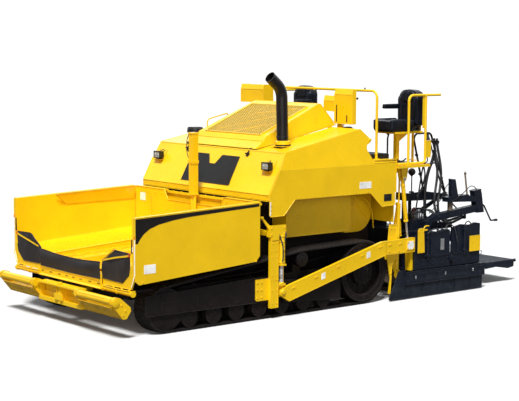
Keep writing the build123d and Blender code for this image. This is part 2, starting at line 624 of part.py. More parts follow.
# control stand: a beam cantilevered over the extension, with a console, lever, screw mast and crank
with BuildPart() as control_stand:
    slab([(2860, 1000), (2860, 1130), (3080, 1228), (4030, 1318), (4030, 1206), (3000, 1112), (2950, 1000)],
         (1185, 1275))
    slab([(3964, 1550), (4126, 1570), (4208, 1190), (4045, 1190)], (1175, 1285))
    slab([(3350, 1410), (3350, 1480), (3800, 1500), (4000, 1450), (4000, 1380)], (1150, 1290))
    block((1200, 1260), (3420, 3480), (1250, 1420))
    slab([(3440, 1478), (3438, 1780), (3521, 1770), (3590, 1482)], (1195, 1275))
    pipe([(1230, 4165, 1330), (1230, 4262, 1292), (1230, 4436, 1032), (1230, 4540, 1030)], 14, 20)
    strut((1215, 3870, 1470), (1215, 3810, 1830), 14)
    with Locations((1215, aft(3810), 1845)):
        Sphere(22)
    block((1060, 1190), (3842, 3880), (1095, 1150))
    block((1170, 1190), (3842, 3880), (1095, 1260))
save_twins("control_stands", control_stand.part)

# sliding extension: hollow carriage, guide tube and wear plate
with BuildPart() as extension:
    block((30, 1495), (EXT_FRONT, EXT_REAR), (50, 640))
    block((42, 1483), (EXT_FRONT + 12, EXT_REAR - 12), (40, 628), mode=Mode.SUBTRACT)
    block((30, 1495), (EXT_FRONT, EXT_REAR), (15, 50))
    block((1440, 1495), (3380, 3500), (640, 930))
    shaft((40, 1490), *GUIDE_TUBE, 40)
    for x in (200.0, 1200.0):
        slab([(3820, 280), (4110, 290), (4110, 365), (3820, 420)], (x, x + 40))
        shaft((x - 10, x + 50), *WALK_HINGE, 15, mode=Mode.SUBTRACT)
    # end plate in two leaves, and the boxes on it
    slab([(2345, 430), (3135, 430), (3135, 1000), (2990, 1020), (2900, 990), (2520, 990), (2345, 960)],
         (1495, 1530))
    slab([(3190, 430), (3840, 430), (3840, 1060), (3720, 1080), (3600, 1050), (3400, 1075), (3190, 1040)],
         (1495, 1530))
    block((1495, 1520), (3100, 3230), (430, 620))
    slab([(2375, 690), (2375, 1060), (2400, 1085), (2500, 1085), (2525, 700), (2505, 690)], (1525, 1572))
    block((1525, 1560), (3570, 3820), (625, 875))
save_pair("extension", extension.part)

with BuildPart() as end_gate:
    slab([(1788, 30), (1990, 455), (2130, 455), (2150, 400), (3885, 400), (3885, 12), (1800, 12)],
         (1536, 1556))
    slab([(2115, 232), (2115, 427), (3926, 412), (3926, 222)], (1556, 1578))
save_pair("end_gate", end_gate.part)

# folding walkway: deck with a lip at each end, notched around the extension's hinge arms
with BuildPart() as walkway:
    block((60, 1400), (4120, 4850), (335, 360))
    for x in (190.0, 1190.0):
        block((x, x + 60), (4110, 4148), (330, 365), mode=Mode.SUBTRACT)
    for x in (1386.0, 60.0):
        slab([(4120, 360), (4848, 360), (4844, 245), (4700, 225), (4400, 275), (4150, 260)], (x, x + 14))
    shaft((180, 1380), *WALK_HINGE, 14)
    for x in (300.0, 1000.0):
        block((x, x + 60), (4090, 4130), (322, 345))
    strut((1365, 4800, 340), (1365, 4915, 340), 24)
save_pair("walkway", walkway.part)

# ---------------------------------------------------------------- screed lift cylinders
LIFT_DIR = Vector(0, LIFT_EYE[0] - LIFT_TOP[0], LIFT_EYE[1] - LIFT_TOP[1]).normalized()
BARREL_LENGTH = 680.0


def along_lift(distance):
    """(x, station, height) at a distance down the lift cylinder from its top pin."""
    return (CYL_X, LIFT_TOP[0] + LIFT_DIR.Y * distance, LIFT_TOP[1] + LIFT_DIR.Z * distance)


with BuildPart() as lift_barrel:
    strut(along_lift(20), along_lift(BARREL_LENGTH), 32)
    shaft((CYL_X - 22, CYL_X + 22), *LIFT_TOP, 32)
    shaft((CYL_X - 40, CYL_X + 40), *LIFT_TOP, 17, mode=Mode.SUBTRACT)
    strut(along_lift(60), along_lift(BARREL_LENGTH + 20), 18.5, mode=Mode.SUBTRACT)
save_pair("lift_barrel", lift_barrel.part)

LIFT_LENGTH = math.hypot(LIFT_EYE[0] - LIFT_TOP[0], LIFT_EYE[1] - LIFT_TOP[1])
with BuildPart() as lift_rod:
    strut(along_lift(330), along_lift(LIFT_LENGTH - 10), 17.5)
    shaft((CYL_X - 16, CYL_X + 16), *LIFT_EYE, 24)
    shaft((CYL_X, CYL_X + 34), *LIFT_EYE, 12)
save_pair("lift_rod", lift_rod.part)

# ---------------------------------------------------------------- hydraulic hoses of the hose carriers
HOSES = {
    "front_hose": [(1080, 3215, 2362), (1082, 3240, 2200), (1086, 3285, 2020), (1090, 3292, 1820),
                   (1086, 3262, 1630), (1080, 3236, 1450), (1078, 3258, 1290), (1080, 3335, 1165),
                   (1084, 3455, 1098), (1088, 3590, 1080), (1090, 3722, 1104), (1090, 3842, 1118)],
    "rear_hose": [(1140, 3215, 2362), (1146, 3250, 2190), (1150, 3302, 2000), (1147, 3322, 1800),
                  (1141, 3302, 1610), (1136, 3266, 1440), (1137, 3268, 1270), (1142, 3342, 1130),
                  (1146, 3455, 1060), (1148, 3590, 1046), (1144, 3722, 1082), (1140, 3842, 1112)],
}


def bend_radii(points):
    """For each inner point, 0.45 of the shorter run over the tangent of half the turn."""
    radii = []
    for before, at, after in zip(points, points[1:], points[2:]):
        arriving = Vector(*at) - Vector(*before)
        leaving = Vector(*after) - Vector(*at)
        half_turn = math.radians(arriving.get_angle(leaving)) / 2
        radii.append(0.45 * min(arriving.length, leaving.length) / math.tan(half_turn))
    return radii


for node, route in HOSES.items():
    radii = bend_radii(route)
    print(node, "radii", [round(r) for r in radii])
    with BuildPart() as hose:
        with BuildLine() as hose_line:
            FilletPolyline(*[(x, aft(s), z) for x, s, z in route], radius=radii)
        with BuildSketch(Plane(origin=hose_line.line @ 0, z_dir=hose_line.line % 0)) as hose_end:
            Circle(HOSE_R)
        sweep(hose_end.sketch, path=hose_line.line)
    hose_length = sum(edge.length for edge in hose_line.edges())
    print(node, "length", round(hose_length), "volume", round(hose.part.volume),
          "section x length", round(math.pi * HOSE_R ** 2 * hose_length))
    save_pair(node, hose.part)

# ---------------------------------------------------------------- tie-down lugs with shackle bores
with BuildPart() as tie_down_lugs:
    for x in (912.0, -938.0):
        for s, z, ends in ((-2660, 700, (-2710, -2600)), (1945, 520, (1900, 1990))):
            block((x, x + 26), ends, (z - 45, z + 45))
            shaft((x - 5, x + 31), s, z, LUG_BORE_R, mode=Mode.SUBTRACT)
save("tie_down_lugs", tie_down_lugs.part)
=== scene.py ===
"""Tracked asphalt paver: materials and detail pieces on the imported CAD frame.

+Z is up, the hopper faces -Y and the machine's left side is +X. Stations run rearward from the
exhaust stack's axis, as in part.py; MID is the station of the row's origin. Shapes are written in
millimetres as (x, station, height), and mm() turns them into the frame's metres.
"""
import json
from itertools import product
from math import cos, dist, pi, radians, sin

import bmesh
import bpy
from mathutils import Matrix, Vector
from mathutils.bvhtree import BVHTree


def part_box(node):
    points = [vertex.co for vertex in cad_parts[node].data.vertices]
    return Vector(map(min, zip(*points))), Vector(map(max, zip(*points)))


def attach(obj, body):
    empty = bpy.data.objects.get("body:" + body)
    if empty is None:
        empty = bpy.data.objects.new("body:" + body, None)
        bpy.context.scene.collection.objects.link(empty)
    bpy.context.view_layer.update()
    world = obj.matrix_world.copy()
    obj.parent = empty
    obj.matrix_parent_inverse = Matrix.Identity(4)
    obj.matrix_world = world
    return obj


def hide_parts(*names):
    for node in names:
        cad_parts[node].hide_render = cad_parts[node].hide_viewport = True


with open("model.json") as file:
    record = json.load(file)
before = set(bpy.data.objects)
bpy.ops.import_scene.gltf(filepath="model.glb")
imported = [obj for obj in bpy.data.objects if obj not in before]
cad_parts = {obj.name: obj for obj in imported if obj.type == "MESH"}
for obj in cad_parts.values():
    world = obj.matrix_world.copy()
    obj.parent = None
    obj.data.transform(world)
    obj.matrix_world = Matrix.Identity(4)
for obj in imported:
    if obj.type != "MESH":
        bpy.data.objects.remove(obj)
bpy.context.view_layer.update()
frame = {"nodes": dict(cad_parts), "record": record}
scene = bpy.context.scene
HOPPER_FRONT = -2.940
MID = HOPPER_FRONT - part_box("left_hopper_wing")[0].y


def at(x, s, z):
    """Row-frame point of an x, a station and a height, in metres."""
    return Vector((x, s - MID, z))


def mm(x, s, z):
    """The same from millimetres."""
    return at(x / 1000, s / 1000, z / 1000)


# ------------------------------------------------------------------ camera
def make_camera(target, azimuth, elevation, roll, distance, lens):
    """A camera looking at target from an azimuth and an elevation, in degrees."""
    az, el, turn = (radians(a) for a in (azimuth, elevation, roll))
    back = Vector((sin(az) * cos(el), -cos(az) * cos(el), sin(el)))
    right = Vector((cos(az), sin(az), 0))
    up = back.cross(right)
    side = cos(turn) * right + sin(turn) * up
    top = cos(turn) * up - sin(turn) * right
    data = bpy.data.cameras.new("camera")
    data.lens = lens
    camera = bpy.data.objects.new("camera", data)
    scene.collection.objects.link(camera)
    axes = Matrix((side, top, back)).transposed().to_4x4()
    camera.matrix_world = Matrix.Translation(target + distance * back) @ axes
    scene.camera = camera


make_camera(at(0.445, 0.113, 1.575), azimuth=50.481, elevation=6.239, roll=0.327, distance=21.781,
            lens=100.21)

# ------------------------------------------------------------------ hoses
HOSE_DIAMETER = 0.042
HOSES = {  # length in metres, and the route on the left side
    "front_hose": (1.752, [
        (1080, 3215, 2362), (1082, 3240, 2200), (1086, 3285, 2020), (1090, 3292, 1820),
        (1086, 3262, 1630), (1080, 3236, 1450), (1078, 3258, 1290), (1080, 3335, 1165),
        (1084, 3455, 1098), (1088, 3590, 1080), (1090, 3722, 1104), (1090, 3842, 1118)]),
    "rear_hose": (1.786, [
        (1140, 3215, 2362), (1146, 3250, 2190), (1150, 3302, 2000), (1147, 3322, 1800),
        (1141, 3302, 1610), (1136, 3266, 1440), (1137, 3268, 1270), (1142, 3342, 1130),
        (1146, 3455, 1060), (1148, 3590, 1046), (1144, 3722, 1082), (1140, 3842, 1112)]),
}
hose_pieces = []
for node, (length, route) in HOSES.items():
    for side, sign in (("left", 1), ("right", -1)):
        curve = bpy.data.curves.new(f"{side}_{node}_line", "CURVE")
        curve.dimensions = "3D"
        spline = curve.splines.new("NURBS")
        points = [mm(sign * x, s, z) for x, s, z in route]
        spline.points.add(len(points) - 1)
        for knot, point in zip(spline.points, points):
            knot.co = (*point, 1)
            knot.radius = HOSE_DIAMETER / 2
        spline.order_u = 3
        spline.use_endpoint_u = True
        spline.resolution_u = 12
        curve.bevel_depth = 1.0
        curve.bevel_resolution = 4
        curve.use_fill_caps = True
        hose = bpy.data.objects.new(f"{side}_{node}_line", curve)
        scene.collection.objects.link(hose)
        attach(hose, "screed")
        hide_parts(f"{side}_{node}")
        hose_pieces.append(hose)


# ------------------------------------------------------------------ materials
class Nodes:
    """Short calls for the node tree of one material or world."""

    def __init__(self, block, output="OutputMaterial", coords="Object"):
        self.block = block
        block.use_nodes = True
        self.tree = block.node_tree
        self.tree.nodes.clear()
        self.output = self.add(output)
        self.coords = self.add("TexCoord").outputs[coords]

    def add(self, kind, **inputs):
        """A node with its sockets set or linked; in0, in1 and so on name a socket by its number."""
        node = self.tree.nodes.new("ShaderNode" + kind)
        for socket, value in inputs.items():
            self.plug(node, socket, value)
        return node

    def plug(self, node, socket, value):
        key = int(socket[2:]) if socket.startswith("in") and socket[2:].isdigit() else socket
        target = node.inputs[key]
        if isinstance(value, bpy.types.NodeSocket):
            self.tree.links.new(value, target)
        else:
            target.default_value = value

    def noise(self, scale, detail=4.0, rough=0.6, stretch=(1, 1, 1), distortion=0.0):
        mapping = self.add("Mapping", Vector=self.coords, Scale=stretch)
        node = self.add("TexNoise", Vector=mapping.outputs[0], Scale=scale, Detail=detail,
                        Roughness=rough, Distortion=distortion)
        return node.outputs["Fac"]

    def ramp(self, value, low, high, start=0.0, end=1.0):
        limits = {"From Min": low, "From Max": high, "To Min": start, "To Max": end}
        return self.add("MapRange", Value=value, **limits).outputs[0]

    def mix(self, factor, first, second):
        node = self.add("Mix")
        node.data_type = "RGBA"
        self.plug(node, "in0", factor)
        for socket, value in (("in6", first), ("in7", second)):
            self.plug(node, socket, (*value[:3], 1) if isinstance(value, tuple) else value)
        return node.outputs[2]

    def math(self, kind, *values):
        node = self.add("Math", **{f"in{k}": value for k, value in enumerate(values)})
        node.operation = kind
        return node.outputs[0]

    def dot(self, first, second):
        node = self.add("VectorMath", in0=first, in1=second)
        node.operation = "DOT_PRODUCT"
        return node.outputs["Value"]

    def bump(self, height, strength, distance, **normal):
        return self.add("Bump", Height=height, Strength=strength, Distance=distance, **normal).outputs[0]

    def edges(self, radius=0.012):
        """1 near convex and concave edges, 0 on flats."""
        soft = self.add("Bevel", Radius=radius)
        soft.samples = 4
        return self.ramp(self.dot(soft.outputs[0], self.add("NewGeometry").outputs["Normal"]), 0.985, 0.88)

    def surface(self, **inputs):
        shader = self.add("BsdfPrincipled", **{k.replace("_", " "): v for k, v in inputs.items()})
        self.plug(self.output, "Surface", shader.outputs[0])
        return self.block


def material_nodes(name):
    """The nodes of a new material."""
    return Nodes(bpy.data.materials.new(name))


def rgb(r, g, b):
    """Linear colour of an sRGB triple, 0 to 255."""
    return tuple(c / 3294.6 if c <= 10.3 else ((c / 255 + 0.055) / 1.055) ** 2.4 for c in (r, g, b))


def painted(name, base, dirt, metal=(0.25, 0.22, 0.2), grime=0.35, wear=0.5, rough=0.38, low=0.0,
            shine=0.45):
    """Sprayed machine paint: slight colour drift, dust and streaks, chipped edges, orange peel.

    With low, more dust gathers below that height.
    """
    n = material_nodes(name)
    drift = n.ramp(n.noise(1.7, 3), 0.35, 0.68)
    colour = n.mix(drift, tuple(c * 0.93 for c in base), tuple(min(1, c * 1.05) for c in base))
    dust = n.ramp(n.noise(5.5, 8, 0.68, distortion=0.4), 0.48, 0.78, 0.0, grime)
    streak = n.ramp(n.noise(9.0, 5, 0.6, stretch=(1, 1, 0.07)), 0.52, 0.8, 0.0, grime * 0.6)
    soil = n.math("MAXIMUM", dust, streak)
    if low:
        near_ground = n.ramp(n.add("SeparateXYZ", Vector=n.coords).outputs[2], low, 0.15, 0.0, 0.55)
        soil = n.math("ADD", soil, n.math("MULTIPLY", near_ground, n.ramp(n.noise(7, 6), 0.3, 0.7)))
    colour = n.mix(soil, colour, dirt)
    chips = n.math("MULTIPLY", n.edges(), n.ramp(n.noise(38, 5, 0.7), 0.5, 0.6, 0, wear))
    colour = n.mix(chips, colour, metal)
    roughness = n.math("ADD", n.ramp(n.noise(14, 5), 0.3, 0.7, rough - 0.06, rough + 0.1),
                       n.math("MULTIPLY", soil, 0.35))
    normal = n.bump(n.noise(220, 3), 0.08, 0.002)
    normal = n.bump(n.noise(24, 4), 0.05, 0.006, Normal=normal)
    return n.surface(Base_Color=colour, Roughness=roughness, Normal=normal, Specular_IOR_Level=shine)


def rubber(name, base, dust, amount=0.4, rough=0.75, scale=60.0, shine=0.25):
    """Matt rubber or vinyl with dust in its grain."""
    n = material_nodes(name)
    drift = n.mix(n.ramp(n.noise(3, 4), 0.35, 0.7), base, tuple(c * 1.5 for c in base))
    soil = n.ramp(n.noise(7, 8, 0.7), 0.42, 0.75, 0, amount)
    return n.surface(Base_Color=n.mix(soil, drift, dust), Roughness=n.ramp(soil, 0, 1, rough, 0.95),
                     Normal=n.bump(n.noise(scale, 4), 0.25, 0.003), Specular_IOR_Level=shine)


def steel(name, bright, rust, amount=0.5, rough=0.42, stretch=(1, 1, 1)):
    """Bare metal with patches of rust or dirt, and scratches along stretch."""
    n = material_nodes(name)
    patches = n.ramp(n.noise(8, 8, 0.7, distortion=0.6), 0.5 - amount * 0.25, 0.72)
    normal = n.bump(n.noise(90, 3, stretch=stretch), 0.15, 0.001)
    normal = n.bump(n.noise(45, 6), 0.2, 0.003, Normal=normal)
    return n.surface(Base_Color=n.mix(patches, bright, rust), Metallic=n.ramp(patches, 0, 1, 0.9, 0.15),
                     Roughness=n.ramp(patches, 0, 1, rough, 0.85), Normal=normal)


def moulded(name, base, rough=0.5, grain=180.0, strength=0.12):
    """Plastic, film or glass with a fine grain."""
    n = material_nodes(name)
    colour = n.mix(n.ramp(n.noise(6, 5), 0.35, 0.7), base, tuple(c * 1.35 + 0.003 for c in base))
    return n.surface(Base_Color=colour, Roughness=n.ramp(n.noise(20, 4), 0.3, 0.7, rough - 0.07, rough + 0.1),
                     Normal=n.bump(n.noise(grain, 3), strength, 0.001))


M = {
    "yellow": painted("yellow_paint", rgb(250, 203, 14), rgb(205, 158, 30), grime=0.08, wear=0.3, rough=0.3),
    "amber": painted("amber_paint", rgb(214, 158, 6), rgb(150, 100, 20), grime=0.3, wear=0.4, rough=0.5),
    "rusty": painted("rusty_yellow_paint", rgb(244, 196, 12), rgb(120, 66, 14), grime=0.75, wear=0.8,
                     rough=0.5),
    "black": painted("black_paint", rgb(22, 18, 17), rgb(52, 42, 34), grime=0.15, wear=0.25, rough=0.3),
    "frame": painted("frame_paint", rgb(20, 16, 17), rgb(44, 36, 32), metal=(0.1, 0.09, 0.085), grime=0.4,
                     wear=0.4, rough=0.42, low=0.5, shine=0.2),
    "screed": painted("screed_paint", rgb(20, 26, 38), rgb(46, 52, 60), metal=(0.12, 0.125, 0.13),
                      grime=0.35, wear=0.5, rough=0.34, low=0.4, shine=0.25),
    "worn": steel("worn_steel", rgb(140, 128, 116), rgb(84, 56, 36), 0.7, 0.45),
    "bright": steel("bright_steel", rgb(196, 198, 200), rgb(120, 116, 110), 0.2, 0.3),
    "chrome": steel("chrome_rod", (0.78, 0.78, 0.8), (0.5, 0.5, 0.5), 0.05, 0.12, (1, 1, 30)),
    "track": rubber("track_rubber", rgb(22, 19, 19), rgb(52, 44, 40), 0.4, 0.55),
    "flap": rubber("flap_rubber", rgb(30, 26, 27), rgb(62, 56, 54), 0.3, 0.42, 60, 0.45),
    "mat": rubber("mat_rubber", rgb(20, 20, 22), rgb(58, 56, 54), 0.3, 0.5),
    "hose": rubber("hose_rubber", rgb(34, 35, 38), rgb(116, 116, 118), 0.6, 0.35, 150),
    "vinyl": rubber("seat_vinyl", rgb(12, 16, 24), rgb(34, 38, 44), 0.2, 0.3, 260),
    "plastic": moulded("black_plastic", rgb(14, 14, 15), 0.4),
    "tan": steel("tan_steel", rgb(176, 158, 132), rgb(110, 92, 74), 0.5, 0.5),
    "decal": moulded("blank_decal", rgb(232, 232, 228), 0.45, 90, 0.03),
    "orange": moulded("orange_mark", rgb(232, 92, 24), 0.45, 90, 0.05),
    "red": moulded("red_plastic", rgb(176, 30, 22), 0.4, 120, 0.08),
    "lens": moulded("lamp_glass", rgb(150, 152, 150), 0.12, 60, 0.3),
}
SLOT_LOOK = {
    "yellow_paint": "yellow", "black_paint": "black", "frame_paint": "frame", "screed_paint": "screed",
    "worn_steel": "worn", "cast_engine": "frame", "chrome_rod": "chrome", "flap_rubber": "flap",
    "track_rubber": "track", "mat_rubber": "mat", "hose_rubber": "hose", "seat_vinyl": "vinyl",
    "black_plastic": "plastic", "lamp_glass": "lens",
}
node_slot = {part["node"]: part["material_slot"] for part in frame["record"]["subparts"]}
for name, node in frame["nodes"].items():
    node.data.materials.clear()
    node.data.materials.append(M[SLOT_LOOK[node_slot[name]]])
for hose in hose_pieces:
    hose.data.materials.append(M["hose"])

# ------------------------------------------------------------------ modelling kit, in millimetres
OUT, FRONT, REAR, UP, DOWN = (1, 0, 0), (0, -1, 0), (0, 1, 0), (0, 0, 1), (0, 0, -1)
BOTH = (1, -1)


def grid(*axes):
    """Every (x, station, height) of three numbers or sequences of numbers."""
    return list(product(*(a if hasattr(a, "__iter__") else (a,) for a in axes)))


def plane(x, *points):
    """(station, height) points at one x."""
    return [(x, s, z) for s, z in points]


def turns(count, start=0.0):
    """The angles of count equal steps round a circle; start is a share of one step."""
    return [2 * pi * (k + start) / count for k in range(count)]


def circle(s, z, radius, angle):
    """The (station, height) at an angle on a circle round (s, z)."""
    return s + radius * cos(angle), z + radius * sin(angle)


def outline_ring(points):
    """Neighbouring pairs round a closed outline."""
    return zip(points, points[1:] + points[:1])


class Piece:
    """A mesh built up from small closed solids.

    With the tag "right" all that is added is mirrored about the middle plane, and so it is while
    side is -1.
    """

    def __init__(self, tag=""):
        self.tag = tag
        self.restart()

    def restart(self):
        self.bm = bmesh.new()
        self.side = -1 if self.tag == "right" else 1

    def solid(self, rings, soft=2.0, segments=1, loop=False):
        """A solid through rings of (x, station, height) points, each ring in the same order."""
        rows = [[self.bm.verts.new(mm(self.side * x, s, z)) for x, s, z in ring] for ring in rings]
        if not loop:
            self.bm.faces.new(rows[0][::-1])
            self.bm.faces.new(rows[-1])
        for a, b in zip(rows, rows[1:] + rows[:1] if loop else rows[1:]):
            for i in range(len(a)):
                j = (i + 1) % len(a)
                self.bm.faces.new((a[i], a[j], b[j], b[i]))
        if soft:
            edges = {e for row in rows for v in row for e in v.link_edges}
            sharp = [e for e in edges if len(e.link_faces) == 2 and e.calc_face_angle(0) > 0.5]
            bmesh.ops.bevel(self.bm, geom=sharp, offset=soft / 1000, segments=segments, affect="EDGES")
        return self

    def box(self, x0, x1, s0, s1, z0, z1, soft=2.0, segments=1):
        return self.prism([(s0, z0), (s1, z0), (s1, z1), (s0, z1)], (x0, x1), soft, segments)

    def boxes(self, soft, *spans):
        for ends in spans:
            self.box(*ends, soft)

    def prism(self, points, xs, soft=2.0, segments=1):
        """From (station, height) corners."""
        return self.solid([[(x, s, z) for s, z in points] for x in xs], soft, segments)

    def wall(self, points, ss, soft=2.0, segments=1):
        """From (x, height) corners."""
        return self.solid([[(x, s, z) for x, z in points] for s in ss], soft, segments)

    def deck(self, points, zs, soft=2.0, segments=1):
        """From (x, station) corners."""
        return self.solid([[(x, s, z) for x, s in points] for z in zs], soft, segments)

    def rod(self, a, b, *radii, sides=20, soft=1.0):
        """A turned bar from a to b: radii are one radius, or (fraction, radius) steps along it."""
        a, b = Vector(a), Vector(b)
        steps = [(0, radii[0]), (1, radii[0])] if not isinstance(radii[0], tuple) else radii
        u = (b - a).normalized().orthogonal().normalized()
        w = (b - a).normalized().cross(u)
        return self.solid([[a.lerp(b, f) + r * (cos(t) * u + sin(t) * w) for t in turns(sides)]
                           for f, r in steps], soft)

    def boss(self, base, axis, height, radius, tip, share=0.6, sides=20):
        """A round boss, straight for a share of its height and narrowing to tip."""
        end = Vector(base) + height * Vector(axis)
        return self.rod(base, end, (0, radius), (share, radius), (1, tip), sides=sides)

    def collar(self, base, axis, height, end, radius, share=0.2, sides=20):
        """A band with chamfered ends."""
        top = Vector(base) + height * Vector(axis)
        return self.rod(base, top, (0, end), (share, radius), (1 - share, radius), (1, end), sides=sides)

    def tube(self, points, radius, bend=0.0, sides=12):
        """A bar through the points, each corner rounded off over bend."""
        points = [Vector(p) for p in points]
        path = [points[0]]
        for before, here, after in zip(points, points[1:], points[2:]):
            back, ahead = (before - here), (after - here)
            cut = min(bend, 0.45 * back.length, 0.45 * ahead.length)
            first, last = here + cut * back.normalized(), here + cut * ahead.normalized()
            for k in range(5):
                t = k / 4
                path.append((1 - t) ** 2 * first + 2 * t * (1 - t) * here + t * t * last)
        path.append(points[-1])
        rings, up = [], None
        for k, point in enumerate(path):
            along = (path[min(k + 1, len(path) - 1)] - path[max(k - 1, 0)]).normalized()
            up = along.orthogonal() if up is None else up - along * up.dot(along)
            up.normalize()
            w = along.cross(up)
            rings.append([point + radius * (cos(t) * up + sin(t) * w) for t in turns(sides)])
        return self.solid(rings, 0)

    def tubes(self, radius, *paths):
        for path in paths:
            self.tube(path, radius)

    def bolt(self, point, axis, size=9.0):
        """Hexagon head on a washer."""
        p, d = Vector(point), Vector(axis).normalized()
        self.rod(p - d, p + d * size * 0.25, size * 1.45, sides=12, soft=0)
        return self.rod(p, p + d * size * 0.95, size, sides=6, soft=size * 0.12)

    def bolts(self, points, axis, size=9.0):
        for point in points:
            self.bolt(point, axis, size)

    def bolt_circle(self, centre, radius, count, size, start=0.0):
        """Bolts that face outward, on a circle round an (x, station, height)."""
        x, s, z = centre
        self.bolts([(x, *circle(s, z, radius, t)) for t in turns(count, start)], OUT, size)

    def coil(self, a, b, radius, wire, count, sides=8):
        """A spring of count turns."""
        a, b = Vector(a), Vector(b)
        d = (b - a).normalized()
        u = d.orthogonal().normalized()
        w = d.cross(u)
        steps = 10 * count
        path = [a.lerp(b, k / steps) + radius * (cos(0.2 * pi * k) * u + sin(0.2 * pi * k) * w)
                for k in range(steps + 1)]
        return self.tube(path, wire, sides=sides)

    def lattice(self, place, spans, cell, hole, thick, inside):
        """Expanded metal: rhombus cells with real holes, on place(u, v, lift)."""
        (u0, u1), (v0, v1), (a, b) = *spans, cell
        corners = ((a, 0), (0, b), (-a, 0), (0, -b))
        for row in range(int((v1 - v0) / b) + 1):
            for col in range(int((u1 - u0) / (2 * a)) + 1):
                u, v = u0 + 2 * a * col + a * (row % 2), v0 + b * row
                if not inside(u, v):
                    continue
                rings = []
                for lift, factor in ((0, 1), (thick, 1), (thick, hole), (0, hole)):
                    rings.append([self.bm.verts.new(mm(*place(u + factor * x, v + factor * y, lift)))
                                  for x, y in corners])
                for first, last in ((1, 2), (2, 3), (3, 0)):
                    for i in range(4):
                        j = (i + 1) % 4
                        self.bm.faces.new((rings[first][i], rings[first][j], rings[last][j], rings[last][i]))

    def done(self, name, look, body="tractor", replaces=None):
        """Makes the object and starts the next piece; a leading underscore stands for the side's tag."""
        name, body = (self.tag + word if word[0] == "_" else word for word in (name, body))
        bmesh.ops.recalc_face_normals(self.bm, faces=self.bm.faces)
        mesh = bpy.data.meshes.new(name)
        self.bm.to_mesh(mesh)
        self.bm.free()
        self.restart()
        mesh.polygons.foreach_set("use_smooth", [True] * len(mesh.polygons))
        mesh.set_sharp_from_angle(angle=0.6)
        mesh.materials.append(M[look])
        piece = bpy.data.objects.new(name, mesh)
        scene.collection.objects.link(piece)
        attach(piece, body)
        if replaces:
            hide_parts(self.tag + replaces if replaces[0] == "_" else replaces)
        return piece


def each_side():
    """A maker of pieces for the left side, then one for the right."""
    return Piece("left"), Piece("right")


def within(points):
    """Test for being inside a polygon."""
    def test(u, v):
        hit = False
        for (a, b), (c, d) in outline_ring(points):
            if (b > v) != (d > v) and u < (c - a) * (v - b) / (d - b) + a:
                hit = not hit
        return hit
    return test


# ------------------------------------------------------------------ hopper
def hinge_z(s):
    """Height of the wing's hinge line."""
    return 872 + 0.0625 * (s + 2940)


for p in each_side():
    p.prism([(-2936, 1620), (-826, 1692), (-826, 1652), (-1500, 1620), (-2060, 1592), (-2330, 1564),
             (-2560, 1525), (-2700, 1480), (-2800, 1418), (-2868, 1345), (-2896, 1296), (-2936, 1292)],
            (1579, 1582), 0.8)
    p.done("_wing_stripe", "black", "_wing")
    p.box(1579, 1582, -2800, -2610, 880, 1000, 1)
    for n in range(4):
        p.box(1581, 1583, -2790, -2620, 972 - 24 * n, 990 - 24 * n, 0.5)
    p.done("_wing_blank_decal", "decal", "_wing")
    p.box(1556, 1577, -2944, -2938, 862, 1350, 1)
    p.wall([(1548, 852), (1570, 848), (1506, 696), (1486, 702)], (-2944, -2938), 1)
    p.box(1506, 1522, -2944, -2938, 1180, 1250, 1)
    p.done("_wing_reflectors", "decal", "_wing")
    for x0, x1, z in ((1556, 1577, 1352), (1556, 1577, 1376), (1506, 1522, 1268)):
        p.box(x0, x1, -2945, -2938, z, z + 14, 1)
    p.done("_wing_orange_marks", "orange", "_wing")
    # rolled edges, hinge knuckles, welds and stiffeners
    p.tube([(1500, -2936, 940), (1512, -2936, 1380), (1512, -2936, 1600)], 7)
    p.tube(plane(1576, (-2936, 800), (-2936, 1612)), 5)
    p.tube(plane(1576, (-2930, 1634), (-818, 1706)), 7)
    p.tube(plane(1516, (-2930, 1632), (-818, 1704)), 6)
    p.prism([(-2930, 1629), (-2930, 1637), (-818, 1709), (-818, 1701)], (1510, 1579), 1)
    p.tube(plane(1500, (-2930, 936), (-820, 1068)), 6)
    p.tube(plane(1150, (-2936, 906), (-820, 1038)), 3.5)
    p.done("_wing_edges", "yellow", "_wing")
    for n in range(19):
        s = -2900 + 110 * n
        p.rod((790, s, hinge_z(s)), (790, s + 52, hinge_z(s + 52)), 21, sides=16)
        p.box(796, 850, s + 6, s + 46, hinge_z(s) + 8, hinge_z(s) + 16, 1)
        p.bolt((832, s + 26, hinge_z(s) + 16), UP, 8)
    p.done("_wing_hinge_knuckles", "yellow", "_wing")
    p.wall([(1494, 1160), (1512, 1160), (1516, 1350), (1502, 1350)], (-2950, -2938), 2)
    p.bolts(grid(1506, -2950, (1190, 1255, 1320)), FRONT, 6)
    p.done("_wing_rubber_strip", "flap", "_wing")
    # lip plate's rim
    p.tubes(5, [(1502, -2095, 1504), (1500, -854, 1512)],
            [(1498, -2098, 1506), (1454, -2284, 1652), (1442, -854, 1702)])
    p.done("_wing_lip_rim", "amber", "_wing")
    # gussets, lifting eye and bolts of the outer plate
    for s in (-2500, -1900, -1300):
        p.box(1200, 1568, s, s + 12, hinge_z(s) + 20, hinge_z(s) + 42, 1)
    p.rod((1300, -1900, 880), (1340, -1900, 880), 26)
    p.bolts([(1581, s, 760 + 0.06 * (s + 2900)) for s in (-2820, -880)], OUT, 10)
    p.done("_wing_gussets", "yellow", "_wing")

